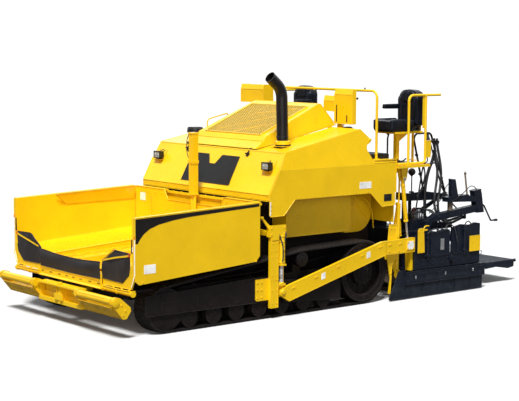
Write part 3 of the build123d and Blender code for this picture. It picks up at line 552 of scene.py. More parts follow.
# chain guard, deck plates and feeder chains
p = Piece()
for x in (-752, 752):
    p.tube(plane(x, (-2790, 890), (-795, 1014)), 6)
for n in range(9):
    for x in (-30, 30):
        s = -2700 + 230 * n
        p.bolt((x, s, 911 + 0.0397 * (s + 2780)), UP, 7)
p.prism([(-2780, 911), (-790, 991), (-790, 996), (-2780, 916)], (-38, 38), 1)
p.box(-60, 60, -2800, -2760, 800, 890, 6, 2)
p.done("chain_guard_cap", "yellow")
for x in (-415, 415):
    for chain in (-190, 190):
        for n in range(52):
            s = -2720 + 37 * n
            z = 832 + 80 * min(1, (s + 2800) / 2015)
            for dx in (-14, 8):
                p.prism([(s, z + 2), (s + 30, z + 2), (s + 30, z + 20), (s, z + 20)],
                        (x + chain + dx, x + chain + dx + 6), 1.5)
            p.rod((x + chain - 18, s + 15, z + 11), (x + chain + 18, s + 15, z + 11), 6, sides=8, soft=0)
p.done("feeder_chains", "yellow")

# bulkhead: flanges, bolts, black edge strip, blank sign on the far side
for p.side in BOTH:
    p.tube([(640, -802, 1556), (740, -802, 1704), (1478, -802, 1704)], 5)
    p.tube(plane(1478, (-802, 1044), (-802, 1700)), 4)
    p.box(1500, 1545, -800, -792, 1060, 1700, 2)
    p.bolts(grid((800, 980, 1160, 1340), -800, 1640), FRONT, 9)
    p.bolts(grid((820, 960, 1100), -800, 1080), FRONT, 9)
    p.boxes(3, (1040, 1052, -818, -800, 1060, 1600), (1080, 1440, -806, -800, 1100, 1560))
p.side = 1
p.tube([(-640, -803, 1556), (640, -803, 1556)], 5)
p.bolts(grid(range(-700, 701, 200), -800, 1230), FRONT, 9)
p.box(-600, 600, -808, -800, 1290, 1300, 2)
p.bolts(grid(range(-1400, 1401, 200), -720, 1684), UP, 9)
p.done("bulkhead_trim", "yellow")
p.box(-780, 780, -806, -799, 1165, 1215, 2)
p.bolts(grid(range(-740, 741, 148), -806, 1200), FRONT, 8)
p.done("tunnel_rubber_lip", "flap")
p = Piece("right")
p.box(1230, 1360, -811, -806, 1490, 1610, 1)
for n in range(4):
    p.box(1240, 1350, -813, -810, 1505 + 25 * n, 1518 + 25 * n, 0.5)
p.done("bulkhead_blank_decal", "decal")

# mast: caps, bolts, cable
p = Piece()
p.box(18, 130, -911, -799, 2596, 2618, 4)
p.bolts(grid((42, 108), -914, (2170, 2192)), FRONT, 7)
p.bolts([(124, -830 - 50 * k, z) for k in (0, 1) for z in (1760, 1840, 2540)], OUT, 8)
p.box(10, 138, -908, -802, 1694, 1712, 3)
p.tube(plane(74, (-910, 1715), (-912, 2150)), 5)
p.done("mast_fittings", "yellow")
p.tube([(30, -905, 2590), (-30, -900, 2500), (-44, -890, 2340), (10, -900, 2240)], 6, 60)
p.box(-8, 26, -902, -868, 2440, 2484, 4)
p.rod((-24, -885, 2462), (-6, -885, 2462), 13)
p.box(-8, 26, -900, -870, 2330, 2362, 4)
p.done("mast_sensor", "plastic")

# ------------------------------------------------------------------ hopper flaps
FLAP_COLUMNS, FLAP_ROWS, FLAP_THICKNESS = 64, 10, 7


def along_line(points, share):
    """The point at a share of a polyline's length."""
    spans = [dist(a, b) for a, b in zip(points, points[1:])]
    rest = share * sum(spans)
    for a, b, length in zip(points, points[1:], spans):
        if rest <= length or b is points[-1]:
            f = min(rest / length, 1)
            return a[0] + f * (b[0] - a[0]), a[1] + f * (b[1] - a[1])
        rest -= length


def flap(name, body, node, top, bottom, s_front, bulge):
    """One heavy rubber sheet that hangs from an (x, height) line, top, down to another, bottom."""
    columns, rows = FLAP_COLUMNS, FLAP_ROWS
    front, back = [], []
    piece = Piece()
    mesh = piece.bm
    for i in range(columns + 1):
        u = i / columns
        (xt, zt), (xb, zb) = along_line(top, u), along_line(bottom, u)
        for j in range(rows + 1):
            v = j / rows
            x, z = xt + v * (xb - xt), zt + v * (zb - zt)
            fold = 5 * sin(9 * u + 3 * v) * sin(pi * v) + 3 * sin(23 * u + 1.5) * (1 - v)
            s = s_front - bulge * sin(pi * min(1, v * 1.15)) - fold
            curl = 7 * max(0, 0.12 - v) / 0.12
            front.append(mesh.verts.new(mm(x, s + curl, z)))
            back.append(mesh.verts.new(mm(x, s + curl + FLAP_THICKNESS, z)))
    step = rows + 1
    for i in range(columns):
        for j in range(rows):
            k = i * step + j
            mesh.faces.new((front[k], front[k + 1], front[k + step + 1], front[k + step]))
            mesh.faces.new((back[k], back[k + step], back[k + step + 1], back[k + 1]))
    rim = [i * step for i in range(columns + 1)] + [columns * step + j for j in range(1, step)]
    rim += [i * step + rows for i in range(columns - 1, -1, -1)] + list(range(rows - 1, 0, -1))
    for a, b in outline_ring(rim):
        mesh.faces.new((front[a], front[b], back[b], back[a]))
    sheet = piece.done(name, "flap", body, replaces=node)
    hem = Piece()
    hem.tube([(x, s_front - 4, z + 4) for x, z in top], 5, 10)
    hem.tube([(x, s_front - 2, z + 6) for x, z in bottom], 4, 10)
    hem = hem.done(name + "_hem", "flap", body)


flap("centre_rubber_flap", "tractor", "centre_flap",
     [(-785, 972), (-656, 964), (-345, 941), (0, 933), (345, 936), (764, 963)],
     [(-785, 728), (-400, 722), (0, 718), (400, 722), (770, 728)], -2964, 9)
for p in each_side():
    flap(f"{p.tag}_rubber_flap", f"{p.tag}_wing", f"{p.tag}_wing_flap",
         [(p.side * x, z) for x, z in ((800, 985), (946, 1072), (1090, 1163), (1466, 1150))],
         [(p.side * x, z) for x, z in ((800, 745), (1120, 738), (1290, 737), (1440, 860), (1463, 960))],
         -2946, 6)
    p.solid([[(x, s, z1), (x, s + 3, z1), (x, s + 3, z0), (x, s, z0)] for x, s, z0, z1 in (
        (1464, -2962, 1112, 1138), (1160, -2972, 1058, 1082), (842, -2966, 988, 1010))], 0.5)
    p.done("_flap_strap", "yellow", "_wing")
    p.box(1440, 1470, -2966, -2956, 1112, 1140, 3)
    p.tube([(1462, -2962, 1132), (1476, -2966, 1146), (1488, -2958, 1156)], 4, 12)
    p.done("_flap_strap_hooks", "orange", "_wing")

# apron: bolted brackets, slots drawn as dark plates of painted shade, torsion tube collars
p = Piece()
for p.side in BOTH:
    p.box(0, 800, -2967, -2960, 704, 712, 1)
    p.tube([(0, -2986, 602), (800, -2986, 602)], 5)
    p.box(790, 802, -2972, -2950, 604, 735, 2)
    p.tube([(808, -2944, 664), (1494, -2944, 676), (1576, -2944, 850)], 5, 10)
    for a, b in ((1500, 1513), (1484, 1496), (1140, 1152), (790, 806)):
        p.rod((a, -2925, 612), (b, -2925, 612), 42)
    p.tube([(830, -2955, 650), (1180, -2955, 642), (1470, -2955, 650)], 9, 20)
    for x in (850, 1060, 1260, 1440):
        p.box(x, x + 26, -2960, -2936, 600, 668, 3)
        p.bolt((x + 13, -2960, 652), FRONT, 8)
p.done("apron_brackets", "yellow")
# slots: thin dark plates on the apron, painted shade in place of open slots
for p.side in BOTH:
    for x in (60, 250, 480, 700):
        p.box(x, x + 60, -2965, -2960, 660, 668, 1)
    for x in (798, 1453):
        p.box(x, x + 44, -2880, -2598, 623, 657, 1)
p.done("apron_slots", "frame")

# ------------------------------------------------------------------ push rollers
ROLLER = (-3193, 530)
for p in each_side():
    p.prism([(-3227, 452), (-3060, 282), (-3056, 286), (-3222, 456)], (604, 1426), 1)
    for x in (630, 820, 1015, 1210, 1400):
        for s, z in ((-3208, 434), (-3080, 303)):
            p.bolt((x, s - 2, z - 2), (0, -0.71, -0.7), 8)
    for x in (720, 1310):
        p.rod((x, -3146, 368), (x, -3150, 364), 20, sides=20)
    p.done("_guard_plate", "rusty", "push_bar")
    for a, b in ((1475, 1494), (540, 556)):
        p.rod((a, *ROLLER), (b, *ROLLER), (0, 52), (0.5, 52), (0.6, 40), (1, 38))
    p.bolt_circle((1486, *ROLLER), 42, 6, 5)
    p.bolts(plane(1476, (-3030, 400), (-3060, 340), (-3090, 480)), OUT, 10)
    p.box(1000, 1030, -3062, -3040, 345, 420, 3)
    p.done("_roller_ends", "yellow", "push_bar")
    for x in (604, 1414):
        p.collar((x, *ROLLER), OUT, 12, 50, 58)
    for t in turns(3):
        s, z = circle(*ROLLER, 56, t + 0.4)
        p.box(640, 1390, s - 3, s + 3, z - 2, z + 2, 1)
    p.done("_roller_bands", "amber", "_roller")
p = Piece()
p.box(-500, 500, -3184, -3060, 566, 570, 1)
for x in (-470, -300, -120, 120, 300, 470):
    p.bolt((x, -3160, 570), UP, 9).bolt((x, -3070, 570), UP, 9)
p.rod((0, -3130, 300), (0, -3130, 600), (0, 22), (0.93, 22), (0.94, 34), (1, 34))
p.box(-100, 100, -3160, -3145, 350, 440, 4)
for x in (-540, 528):
    p.box(x, x + 12, -3130, -3050, 345, 548, 2)
p.bolts(grid((-1440, -1020, 1000, 1440), -3062, 375), FRONT, 10)
p.boss((0, -2690, 506), UP, 24, 60, 52, 0.7)
p.done("hitch_box_fittings", "yellow", "push_bar")

# ------------------------------------------------------------------ hood
def slope(s, z, rise):
    """Places points on a slope through (s, z): an x, a distance up it and a height out of its skin."""
    d = Vector(rise).normalized()
    return lambda x, along, lift: (x, s + d.x * along - d.y * lift, z + d.y * along + d.x * lift)


def bar_on(place, xs, a0, a1, w0, w1, soft=2):
    """Adds a bar that lies on a slope, from a0 to a1 up it and from w0 to w1 out of it."""
    p.solid([[place(x, a, w) for a, w in ((a0, w0), (a1, w0), (a1, w1), (a0, w1))] for x in xs], soft)


on_hood = slope(-630, 1790, (321, 590))

GRILLE = [(-580, 80), (-572, 538), (-165, 538), (-70, 387), (70, 387), (165, 538), (572, 538), (580, 80)]
p.lattice(on_hood, ((-580, 580), (80, 540)), (19, 13), 0.66, 5, within(GRILLE))
p.done("front_grille_mesh", "plastic")
# a dark sheet flush under the mesh: painted shade that darkens the grille's holes
p.solid([[on_hood(*point, w) for point in GRILLE] for w in (-2, 1)], 0)
p.done("front_grille_backing", "frame")
for (xa, a), (xb, b) in outline_ring(GRILLE):
    p.tube([on_hood(xa, a, 3), on_hood(xb, b, 3)], 6)
for x, a in ((-560, 200), (-560, 420), (560, 200), (560, 420), (-300, 92), (0, 92), (300, 92), (-380, 526),
             (380, 526)):
    p.rod(on_hood(x, a, 4), on_hood(x, a, 12), (0, 12), (0.6, 12), (1, 7), sides=12)
p.done("front_grille_frame", "black")
bar_on(on_hood, (-1540, 1540), -2, 6, -2, 5)
p.wall([(-1548, 1716), (1548, 1716), (1548, 1722), (-1548, 1722)], (-634, -628), 1)
p.box(-1545, 1545, -633, -622, 1700, 1712, 2)
for x in (-1549, 1541):
    bar_on(on_hood, (x, x + 8), 4, 380, -2, 4)
p.bolts(grid((-1200, -860, 860, 1200), -630, 1752), FRONT, 8)
bar_on(on_hood, (-1500, 1500), 655, 668, -2, 4)
p.done("hood_folds", "yellow")
p.box(-1500, 1500, -628, -606, 1690, 1702, 3)
p.tube([(-1480, -600, 1692), (0, -600, 1690), (1480, -600, 1692)], 10)
p.done("hood_lower_seal", "flap")
for x in (-730, 730):
    p.rod(on_hood(x, 590, 0), on_hood(x, 590, 22), (0, 34), (0.3, 34), (0.4, 16), (1, 16), sides=20)
    p.tube([on_hood(x - 34, 596, 26), on_hood(x + 6, 590, 30), on_hood(x + 44, 640, 34)], 11, 20)
    p.box(x - 16, x + 16, -300, -270, 2380, 2404, 4)
p.done("hood_latches", "plastic")

# headlights: black housings with a bezel, reflector and lens, in a folded corner pocket
for p in each_side():
    p.solid([[(x, s, z) for x, z in ((1252, 2132), (1408, 2132), (1408, 2240), (1252, 2240))]
             for s in (-512, -440)], 10, 2)
    for xs in ((1250, 1262), (1398, 1410)):
        p.box(*xs, -524, -500, 2130, 2242, 3)
    for zs in ((2130, 2141), (2231, 2242)):
        p.box(1250, 1410, -524, -500, *zs, 3)
    for k in range(5):
        p.box(1270 + 28 * k, 1276 + 28 * k, -455, -425, 2145, 2228, 1)
    p.tube([(1330, -440, 2240), (1330, -405, 2262), (1290, -390, 2250)], 6, 15)
    p.done("_headlight_housing", "plastic", replaces="headlights")
    for x in (1294, 1366):
        p.rod((x, -506, 2186), (x, -520, 2186), (0, 32), (0.5, 30), (1, 16), sides=24)
        p.rod((x, -520, 2186), (x, -527, 2186), (0, 14), (1, 9), sides=16)
    p.solid([[(x, s, z) for x, z in ((1264, 2144), (1396, 2144), (1396, 2228), (1264, 2228))]
             for s in (-519, -514)], 2)
    p.done("_headlight_lens", "lens")
    bar_on(on_hood, (1228, 1432), 372, 384, -2, 5)
    p.prism([(-520, 2112), (-438, 2112), (-400, 2180), (-392, 2180), (-430, 2106), (-520, 2106)],
            (1232, 1428), 2)
    for x in (1234, 1420):
        p.prism([(-446, 2118), (-372, 2256), (-378, 2260), (-452, 2122)], (x, x + 6), 1)
    p.done("_headlight_pocket", "amber")

# ------------------------------------------------------------------ side cowls
for p in each_side():
    p.tubes(5, plane(1553, (-612, 1704), (1896, 1704)),
            [(1552, -616, 1706), (1554, -614, 1786), (1554, -430, 2128)])
    p.tubes(4, plane(1554, (-430, 2130), (1424, 2130)), [(1554, -425, 2132), (1515, -300, 2372)])
    p.tubes(5, [(1513, -292, 2380), (1468, 1200, 2664)],
            [(1470, 1200, 2664), (1488, 1383, 2518), (1498, 1384, 2464)],
            plane(1556, (-140, 1700), (-350, 1482), (-598, 1482)),
            plane(1556, (1362, 1698), (1600, 1482), (1868, 1492), (1896, 1698)))
    p.bolts(grid(1557, -585, (1520, 1580, 1640)), OUT, 8)
    p.bolts(grid(1557, (-60, 220, 500, 780, 1060, 1300), 1725), OUT, 7)
    p.boss((1500, 1380, 2500), OUT, 20, 24, 12, 0.7, 24)
    p.tube(plane(1557, (1430, 2150), (1880, 2150)), 4)
    p.box(1554, 1560, 1885, 1897, 1720, 2150, 2)
    p.prism([(1312, 2425), (1302, 2362), (1424, 2178), (1440, 2190), (1322, 2368)], (1490, 1500), 2)
    p.rod((1510, 1250, 2200), (1514, 1250, 2200), 10)
    p.done("_cowl_folds", "yellow")
    p.boxes(1, (1555, 1559, -612, -590, 1500, 1694), (1555, 1559, 1872, 1892, 1530, 1690))
    p.done("_cowl_reflectors", "decal")
    p.box(1556, 1559, 1130, 1370, 1780, 1880, 1)
    p.boxes(0.5, (1558, 1560, 1140, 1240, 1850, 1872), (1558, 1560, 1260, 1360, 1820, 1872))
    p.done("_cowl_blank_decal", "decal")
    p.box(1556, 1561, 1640, 1800, 1562, 1668, 6, 2)
    for k in range(3):
        p.boss((1560, 1672 + 48 * k, 1615), OUT, 8, 18, 11, 0.6, 16)
    p.done("_marker_lamp", "plastic")

# ------------------------------------------------------------------ engine cowl
on_cowl = slope(-70, 2571, (1070, 454))
COWL_NORMAL = (0, -0.39, 0.92)
p = Piece()
p.lattice(on_cowl, ((-650, 650), (22, 1010)), (24, 15), 0.8, 4, lambda u, v: abs(u) < 648 and 25 < v < 1008)
bmesh.ops.translate(p.bm, verts=p.bm.verts, vec=(0, -0.004, 0.010))
p.done("cowl_grille_mesh", "yellow", "cowl")
bar_on(on_cowl, (-652, 652), 16, 1016, -1, 1.5, 0)
for k in range(9):
    bar_on(on_cowl, (-640 + 150 * k, -634 + 150 * k), 20, 1010, 1, 8, 0)
p.done("cowl_grille_shadow", "black", "cowl")
for ends in (((-470, 120), (330, 640)), ((-40, 60), (560, 420)), ((-200, 700), (500, 930))):
    p.solid([[on_cowl(x, a + d, w) for d, w in ((-16, 2), (16, 2), (16, 8), (-16, 8))] for x, a in ends], 1)
p.done("cowl_inner_brackets", "yellow", "cowl")
for xs, a0, a1 in (((-668, 668), 4, 22), ((-668, 668), 1010, 1032), ((-672, -652), 4, 1032),
                   ((652, 672), 4, 1032)):
    bar_on(on_cowl, xs, a0, a1, -1, 18)
for x in (-662, 662):
    p.bolts([on_cowl(x, a, 18) for a in range(80, 1000, 180)], COWL_NORMAL, 7)
for x in range(-560, 561, 280):
    p.bolt(on_cowl(x, 14, 18), COWL_NORMAL, 7).bolt(on_cowl(x, 1022, 18), COWL_NORMAL, 7)
for p.side in BOTH:
    p.tube([(840, -288, 2396), (815, -132, 2500), (800, -72, 2569), (760, 1000, 3018), (764, 1046, 3014),
            (828, 1306, 2694)], 4)
p.side = 1
p.tube([(-838, -290, 2396), (838, -290, 2396)], 5)
p.tube([(-812, -132, 2502), (812, -132, 2502)], 4)
p.tubes(5, [(-764, 1004, 3024), (764, 1004, 3024)], [(-818, 1308, 2694), (818, 1308, 2694)])
for k in range(9):
    s, z = 1250 - 0.79 * (22 * k + 20), 2780 + 22 * k
    p.prism([(s, z), (s + 12, z - 8), (s + 18, z - 2)], (-560, 560), 1)
p.rod((819, 900, 2800), (826, 900, 2798), (0, 17), (0.6, 17), (1, 10), sides=16)
p.done("cowl_rims", "yellow", "cowl")

# ------------------------------------------------------------------ exhaust, air cleaner, grab rail
p.rod((1120, -12, 2470), (1120, -13, 2524), (0, 121), (0.8, 121), (1, 97), sides=40)
for t in turns(8, 0.5):
    p.bolt((*circle(1120, -12, 106, t), 2516), UP, 8)
p.deck([(985, -140), (1255, -140), (1255, 140), (985, 140)], (2440, 2446), 2)
p.done("exhaust_collar", "yellow")
p.rod((1120, -19, 2560), (1120, -20, 2586), (0, 87), (0.1, 90), (0.9, 90), (1, 87), sides=40)
p.box(1202, 1228, -31, -7, 2562, 2584, 2)
p.bolt((1218, -32, 2573), FRONT, 7)
p.done("exhaust_clamps", "black")
for z, r in ((2528, 134), (2556, 133), (2584, 131)):
    p.collar((-1150, 100, z), UP, 9, r - 4, r, 0.3, 40)
for t in turns(24):
    p.deck([circle(-1150, 100, r, t + w) for r, w in ((62, -0.03), (118, -0.02), (118, 0.02), (62, 0.03))],
           (2598, 2606), 1)
p.boss((-1150, 100, 2596), UP, 16, 30, 20, 0.7)
p.done("air_cleaner_ribs", "plastic")
p.tube(plane(-900, (150, 2500), (152, 2740), (570, 2830), (572, 2600)), 11, 60)
for s, z in ((150, 2486), (572, 2590)):
    p.rod((-900, s, z - 20), (-900, s, z + 6), 24, sides=16)
p.done("grab_rail", "yellow", "cowl")

# ------------------------------------------------------------------ tanks and pump bay
for p in each_side():
    p.boxes(1, (1249, 1254, -30, 1230, 1140, 1146), (1249, 1254, -30, 1230, 1630, 1636))
    for s in (-32, 600, 1226):
        p.box(1249, 1254, s, s + 8, 1130, 1640, 1)
    p.bolts(grid(1252, (20, 300, 560, 660, 940, 1180), (1160, 1615)), OUT, 7)
    p.boss((1250, 180, 1400), OUT, 12, 30, 22, 0.5, 24)
    p.tube([(1255, 1250, 1640), (1200, 1560, 1600), (1170, 1760, 1420), (1160, 1800, 1180),
            (1150, 1820, 1100)], 9, 120)
    p.tube([(1092, 1480, 1690), (1100, 1480, 1500), (1098, 1700, 1300)], 13, 80)
    p.rod((1090, 1420, 1440), (1104, 1420, 1440), (0, 52), (0.5, 52), (0.6, 40), (1, 38), sides=28)
    p.bolt_circle((1098, 1420, 1440), 46, 6, 5)
    p.done("_tank_panel", "yellow")

# ------------------------------------------------------------------ operator's station
FLOOR = 2080
p = Piece()
for x in range(-1280, 1281, 40):
    for ss, z in (((1454, 1886), 2190), ((1929, 2586), FLOOR)):
        p.box(x - 11, x + 11, *ss, z + 2, z + 9, 1.5)
for ss, z in (((1450, 1890), 2190), ((1925, 2590), FLOOR)):
    p.box(-1294, 1294, *ss, z, z + 4, 1.5)
    for s in ss:
        p.tube([(-1292, s, z + 5), (1292, s, z + 5)], 5)
p.done("platform_ribbed_mats", "mat", replaces="platform_mat")
p.box(-1582, 1582, 2592, 2606, 2046, 2084, 3)
for p.side in BOTH:
    p.box(1570, 1583, 1910, 2600, 2044, 2086, 3)
    p.tube(plane(1546, (1442, 2191), (1904, 2191)), 5)
    p.boxes(1, (1300, 1560, 1908, 1914, 1700, 1706), (1330, 1336, 1917, 1925, 1260, 2040),
            (700, 708, 1917, 1925, 1260, 2040))
    p.bolts(grid((760, 1280), 1918, (1320, 1640, 1980)), REAR, 8)
    p.bolts(grid(1540, (1960, 2120, 2560), FLOOR), UP, 8)
    p.box(1325, 1435, 2385, 2400, FLOOR, FLOOR + 3, 1)
    for z in (1320, 1620, 1920):
        p.tube([(x, s, z) for x, s in ((1180, 1925), (1180, 2010), (1330, 2010), (1330, 1925))], 13, 25)
p.done("platform_edges", "yellow")

for x0, x1, rear, bottom, top in ((722, 1130, 1440, 2712, 3240), (478, 722, 1470, 2895, 3135),
                                  (-1575, -985, 1572, 2968, 3262)):
    p.prism([(1360, top - 80), (1384, top + 1), (1392, top + 1), (1366, top - 84)], (x0, x1), 1)
    for x in (x0 + 1, x1 - 7):
        p.tube(plane(x + 3, (1362, bottom + 4), (1362, top - 80), (1385, top), (rear, top - 4)), 4)
    p.tube([(x0 + 3, 1362, bottom + 3), (x1 - 3, 1362, bottom + 3)], 4)
    p.box(x0 - 2, x1 + 2, rear - 3, rear + 8, bottom, bottom + 10, 2)
    p.bolts(grid((x0 + 26, x1 - 26), 1362, (bottom + 26, top - 110)), FRONT, 6)
    p.box(x0 + 30, x1 - 30, rear, rear + 4, bottom + 30, top - 110, 2)
for p.side, x, front in ((1, 800, 1400), (-1, 1280, 1440)):
    p.box(x - 62, x + 50, front - 2, front + 58, 2196, 2206, 3)
    p.bolts([(x + dx, front + 48, 2206) for dx in (-46, 0, 38)], UP, 7)
p.done("console_folds", "yellow")
for x, z0, z1 in ((776, 2744, 3000), (1008, 2744, 2850)):
    p.box(x - 8, x + 8, 1359, 1364, z0, z1, 2)
    for k in range(int((z1 - z0) / 26)):
        p.box(x - 12, x + 12, 1358, 1362, z0 + 8 + 26 * k, z0 + 14 + 26 * k, 1)
for x0, x1, rear, z in ((722, 1130, 1444, 3120), (-1575, -985, 1576, 3140)):
    p.box(x0 + 50, x1 - 50, rear, rear + 5, z - 110, z + 40, 3)
    for k in range(5):
        x = x0 + 80 + 62 * k
        p.boss((x, rear + 5, z), REAR, 10, 20, 15, 0.7)
        p.box(x - 8, x + 8, rear + 4, rear + 12, z - 62, z - 40, 2)
    p.rod((x0 + 370, rear, z - 40), (x0 + 370, rear + 70, z - 10), (0, 7), (0.55, 7), (0.6, 17), (0.9, 17),
          (1, 8), sides=16)
p.rod((1150, 1600, 3240), (1150, 1600, 3268), (0, 9), (0.5, 9), (0.55, 16), (1, 12), sides=16)
p.done("console_controls", "plastic")
for p.side, x, s, z in ((1, 800, 1456, 3038), (1, 1040, 1456, 3038), (-1, 1180, 1586, 3058),
                        (-1, 1400, 1586, 3058)):
    p.boss((x, s, z), REAR, 8, 13, 9, 0.6, 16)
p.done("console_buttons", "red")
p.box(900, 960, 1358, 1364, 2690, 2716, 2)
p.tube([(905, 1356, 2700), (930, 1350, 2690), (955, 1356, 2700)], 5, 8)
p.done("console_latch", "bright")

for p.side in BOTH:
    for x, s, z in ((1500, 2200, FLOOR), (1415, 1600, 2190)):
        p.box(x - 45, x + 45, s - 45, s + 45, z, z + 9, 3)
        p.bolts([(x + dx, s + ds, z + 9) for dx in (-30, 30) for ds in (-30, 30)], UP, 7)
    p.boss((1500, 2884, 3150), REAR, 12, 20.5, 14, 0.5)
    for s, z in ((2570, 3130), (2215, 2105)):
        p.collar((1500, s, z - 14), UP, 28, 21, 24)
    p.bolts(grid(1506, (2520, 2575), (2670, 3110)), OUT, 7)
    p.boxes(3, (1482, 1518, 2576, 2684, 2432, 2442), (1482, 1518, 2576, 2684, 2180, 2190))
    p.tube(plane(1500, (2684, 2210), (2700, 2230), (2700, 2390), (2684, 2410)), 5, 12)
    p.collar((1415, 1600, 2260), UP, 25, 21, 24)
p.side = 1
p.collar((0, 1600, 3203), UP, 44, 21, 25)
p.done("rail_fittings", "yellow")
for p.side in BOTH:
    p.tube([(1500, 2620, 2186), (1500, 2640, 2120), (1480, 2580, 2080), (1440, 2500, 2040)], 9, 40)
    p.tube([(1440, 2610, 2040), (1440, 2650, 1900), (1400, 2630, 1700), (1350, 2560, 1560)], 12, 60)
p.done("lamp_cables", "hose")

# ------------------------------------------------------------------ seats
def rounded(u0, u1, v0, v1, radius):
    """Outline of a rectangle with rounded corners."""
    points = []
    for u, v, quarter in ((u1, v1, 0), (u0, v1, 1), (u0, v0, 2), (u1, v0, 3)):
        cu, cv = u - radius if u == u1 else u + radius, v - radius if v == v1 else v + radius
        points += [(cu + radius * cos(t), cv + radius * sin(t))
                   for t in ((quarter + k / 5) * pi / 2 for k in range(6))]
    return points


def upholstered(name, forms, cap, flat):
    """A padded cover: outlines, lying flat or upright, merged and then puffed out by cloth pressure.

    Cap is the most that it moves any point, in millimetres.
    """
    p = Piece()
    for outline, ends, soft in forms:
        (p.deck if flat else p.wall)(outline, ends, soft, 4)
    piece = p.done(name, "vinyl")
    remesh = piece.modifiers.new("remesh", "REMESH")
    remesh.mode = "VOXEL"
    remesh.voxel_size = 0.009
    smooth = piece.modifiers.new("smooth", "SMOOTH")
    smooth.iterations = 3
    baked = bpy.data.meshes.new_from_object(piece.evaluated_get(bpy.context.evaluated_depsgraph_get()))
    piece.modifiers.clear()
    piece.data = baked
    rest = [v.co.copy() for v in baked.vertices]
    cloth = piece.modifiers.new("cloth", "CLOTH")
    cloth.settings.use_pressure = True
    cloth.settings.uniform_pressure_force = 4
    cloth.settings.effector_weights.gravity = 0
    for step in range(1, 21):
        scene.frame_set(step)
    blown = piece.evaluated_get(bpy.context.evaluated_depsgraph_get()).data
    moved = [v.co.copy() for v in blown.vertices]
    piece.modifiers.clear()
    for vertex, before, after in zip(baked.vertices, rest, moved):
        push = after - before
        vertex.co = before + push * min(1, cap / 1000 / max(push.length, 1e-9))
    scene.frame_set(1)
    baked.polygons.foreach_set("use_smooth", [True] * len(baked.polygons))
    finer = piece.modifiers.new("finer", "SUBSURF")
    finer.levels = finer.render_levels = 1
    return piece


def seam(p, tree, points, toward, radius=3.2):
    """Piping laid on a surface: each point is dropped onto it along a direction."""
    hits = []
    for point in points:
        start = mm(*point)
        hit = tree.ray_cast(start, Vector(toward).normalized())[0]
        if hit is not None:
            hits.append((hit.x * 1000, (hit.y + MID) * 1000, hit.z * 1000))
    if len(hits) > 2:
        p.tube(hits, radius, 12, 8)


def surface_of(piece):
    """The piece's surface, for laying things on it."""
    mesh = piece.data
    return BVHTree.FromPolygons([v.co for v in mesh.vertices], [f.vertices for f in mesh.polygons])


def seat(tag, x, s):
    """A seat that starts at x, with the front of its back at s."""
    mid = x + 235
    cushion = upholstered(f"{tag}_seat_cushion", [
        (rounded(x + 14, x + 456, s - 540, s - 20, 60), (2616, 2742), 34),
        (rounded(x + 10, x + 96, s - 530, s - 40, 36), (2640, 2776), 32),
        (rounded(x + 374, x + 460, s - 530, s - 40, 36), (2640, 2776), 32),
        (rounded(x + 40, x + 430, s - 546, s - 450, 40), (2612, 2758), 38),
    ], 12, flat=True)
    back = upholstered(f"{tag}_seat_back", [
        (rounded(x + 10, x + 460, 2622, 3240, 165), (s + 30, s + 168), 46),
        (rounded(x + 8, x + 100, 2660, 3130, 44), (s + 12, s + 150), 34),
        (rounded(x + 370, x + 462, 2660, 3130, 44), (s + 12, s + 150), 34),
        (rounded(x + 100, x + 370, 3040, 3228, 90), (s + 16, s + 170), 50),
    ], 12, flat=False)
    tops, fronts = surface_of(cushion), surface_of(back)
    p = Piece()
    for dx in (106, 364):
        seam(p, tops, [(x + dx, s - 490 + 44 * k, 2900) for k in range(11)], DOWN)
        seam(p, fronts, [(x + dx, s - 200, 2690 + 45 * k) for k in range(11)], REAR)
    for ds in (-360, -230, -110):
        seam(p, tops, [(x + 108 + 25 * k, s + ds, 2900) for k in range(11)], DOWN)
    for z in (2800, 2930, 3060):
        seam(p, fronts, [(x + 108 + 25 * k, s - 200, z) for k in range(11)], REAR)
    p.done(f"{tag}_seat_piping", "vinyl")
    p.box(x + 50, x + 420, s - 500, s - 40, 2588, 2622, 8, 2)
    p.wall(rounded(x + 40, x + 430, 2650, 3210, 130), (s + 160, s + 196), 10, 3)
    for a, b in ((x - 2, x + 20), (x + 472, x + 450)):
        p.rod((a, s - 6, 2640), (b, s - 6, 2640), (0, 24), (1, 30), sides=24)
        p.box(*sorted((a, b)), s - 120, s + 60, 2600, 2650, 4)
    p.tube(plane(x + 460, (s - 60, 2620), (s - 160, 2610), (s - 190, 2630)), 7, 20)
    p.done(f"{tag}_seat_shell", "plastic", replaces="seats")
    # one padded armrest on the inner side
    inner = x if x > 0 else x + 470
    out = -1 if x > 0 else 1
    xs = sorted((inner + out * 2, inner + out * -52))
    upholstered(f"{tag}_seat_armrest", [(rounded(*xs, s - 310, s + 40, 24), (2938, 3002), 18)], 4, flat=True)
    p.prism([(s - 318, 2958), (s - 280, 2930), (s + 60, 2924), (s + 60, 2942), (s - 290, 2948)], xs, 4)
    p.rod((xs[0], s + 46, 2950), (xs[1], s + 46, 2950), (0, 18), (0.5, 22), (1, 18), sides=20)
    p.done(f"{tag}_armrest_bracket", "plastic")
    p.tube(plane(mid - 5, (s - 400, 2118), (s - 400, 2500), (s - 370, 2562)), 14, 40)
    p.box(mid - 40, mid + 30, s - 440, s - 360, 2118, 2132, 5)
    p.rod((mid - 5, s - 402, 2540), (mid - 5, s - 402, 2564), (0, 12), (0.5, 20), (1, 12), sides=16)
    p.tube(plane(mid + 60, (s - 300, 2120), (s - 120, 2122), (s - 60, 2160)), 12, 30)
    p.done(f"{tag}_seat_lever", "plastic")
    for lo, hi in ((s - 262, s - 172), (s + 112, s + 190)):
        p.box(mid - 70, mid + 70, lo, hi, 2118, 2128, 3)
        p.bolts([(mid + dx, (lo + hi) / 2, 2128) for dx in (-52, 52)], UP, 7)
    p.bolts([(mid + dx, s + 223, z) for dx in (-70, 70) for z in (2640, 2760, 2870)], REAR, 7)
    p.done(f"{tag}_seat_feet", "yellow")


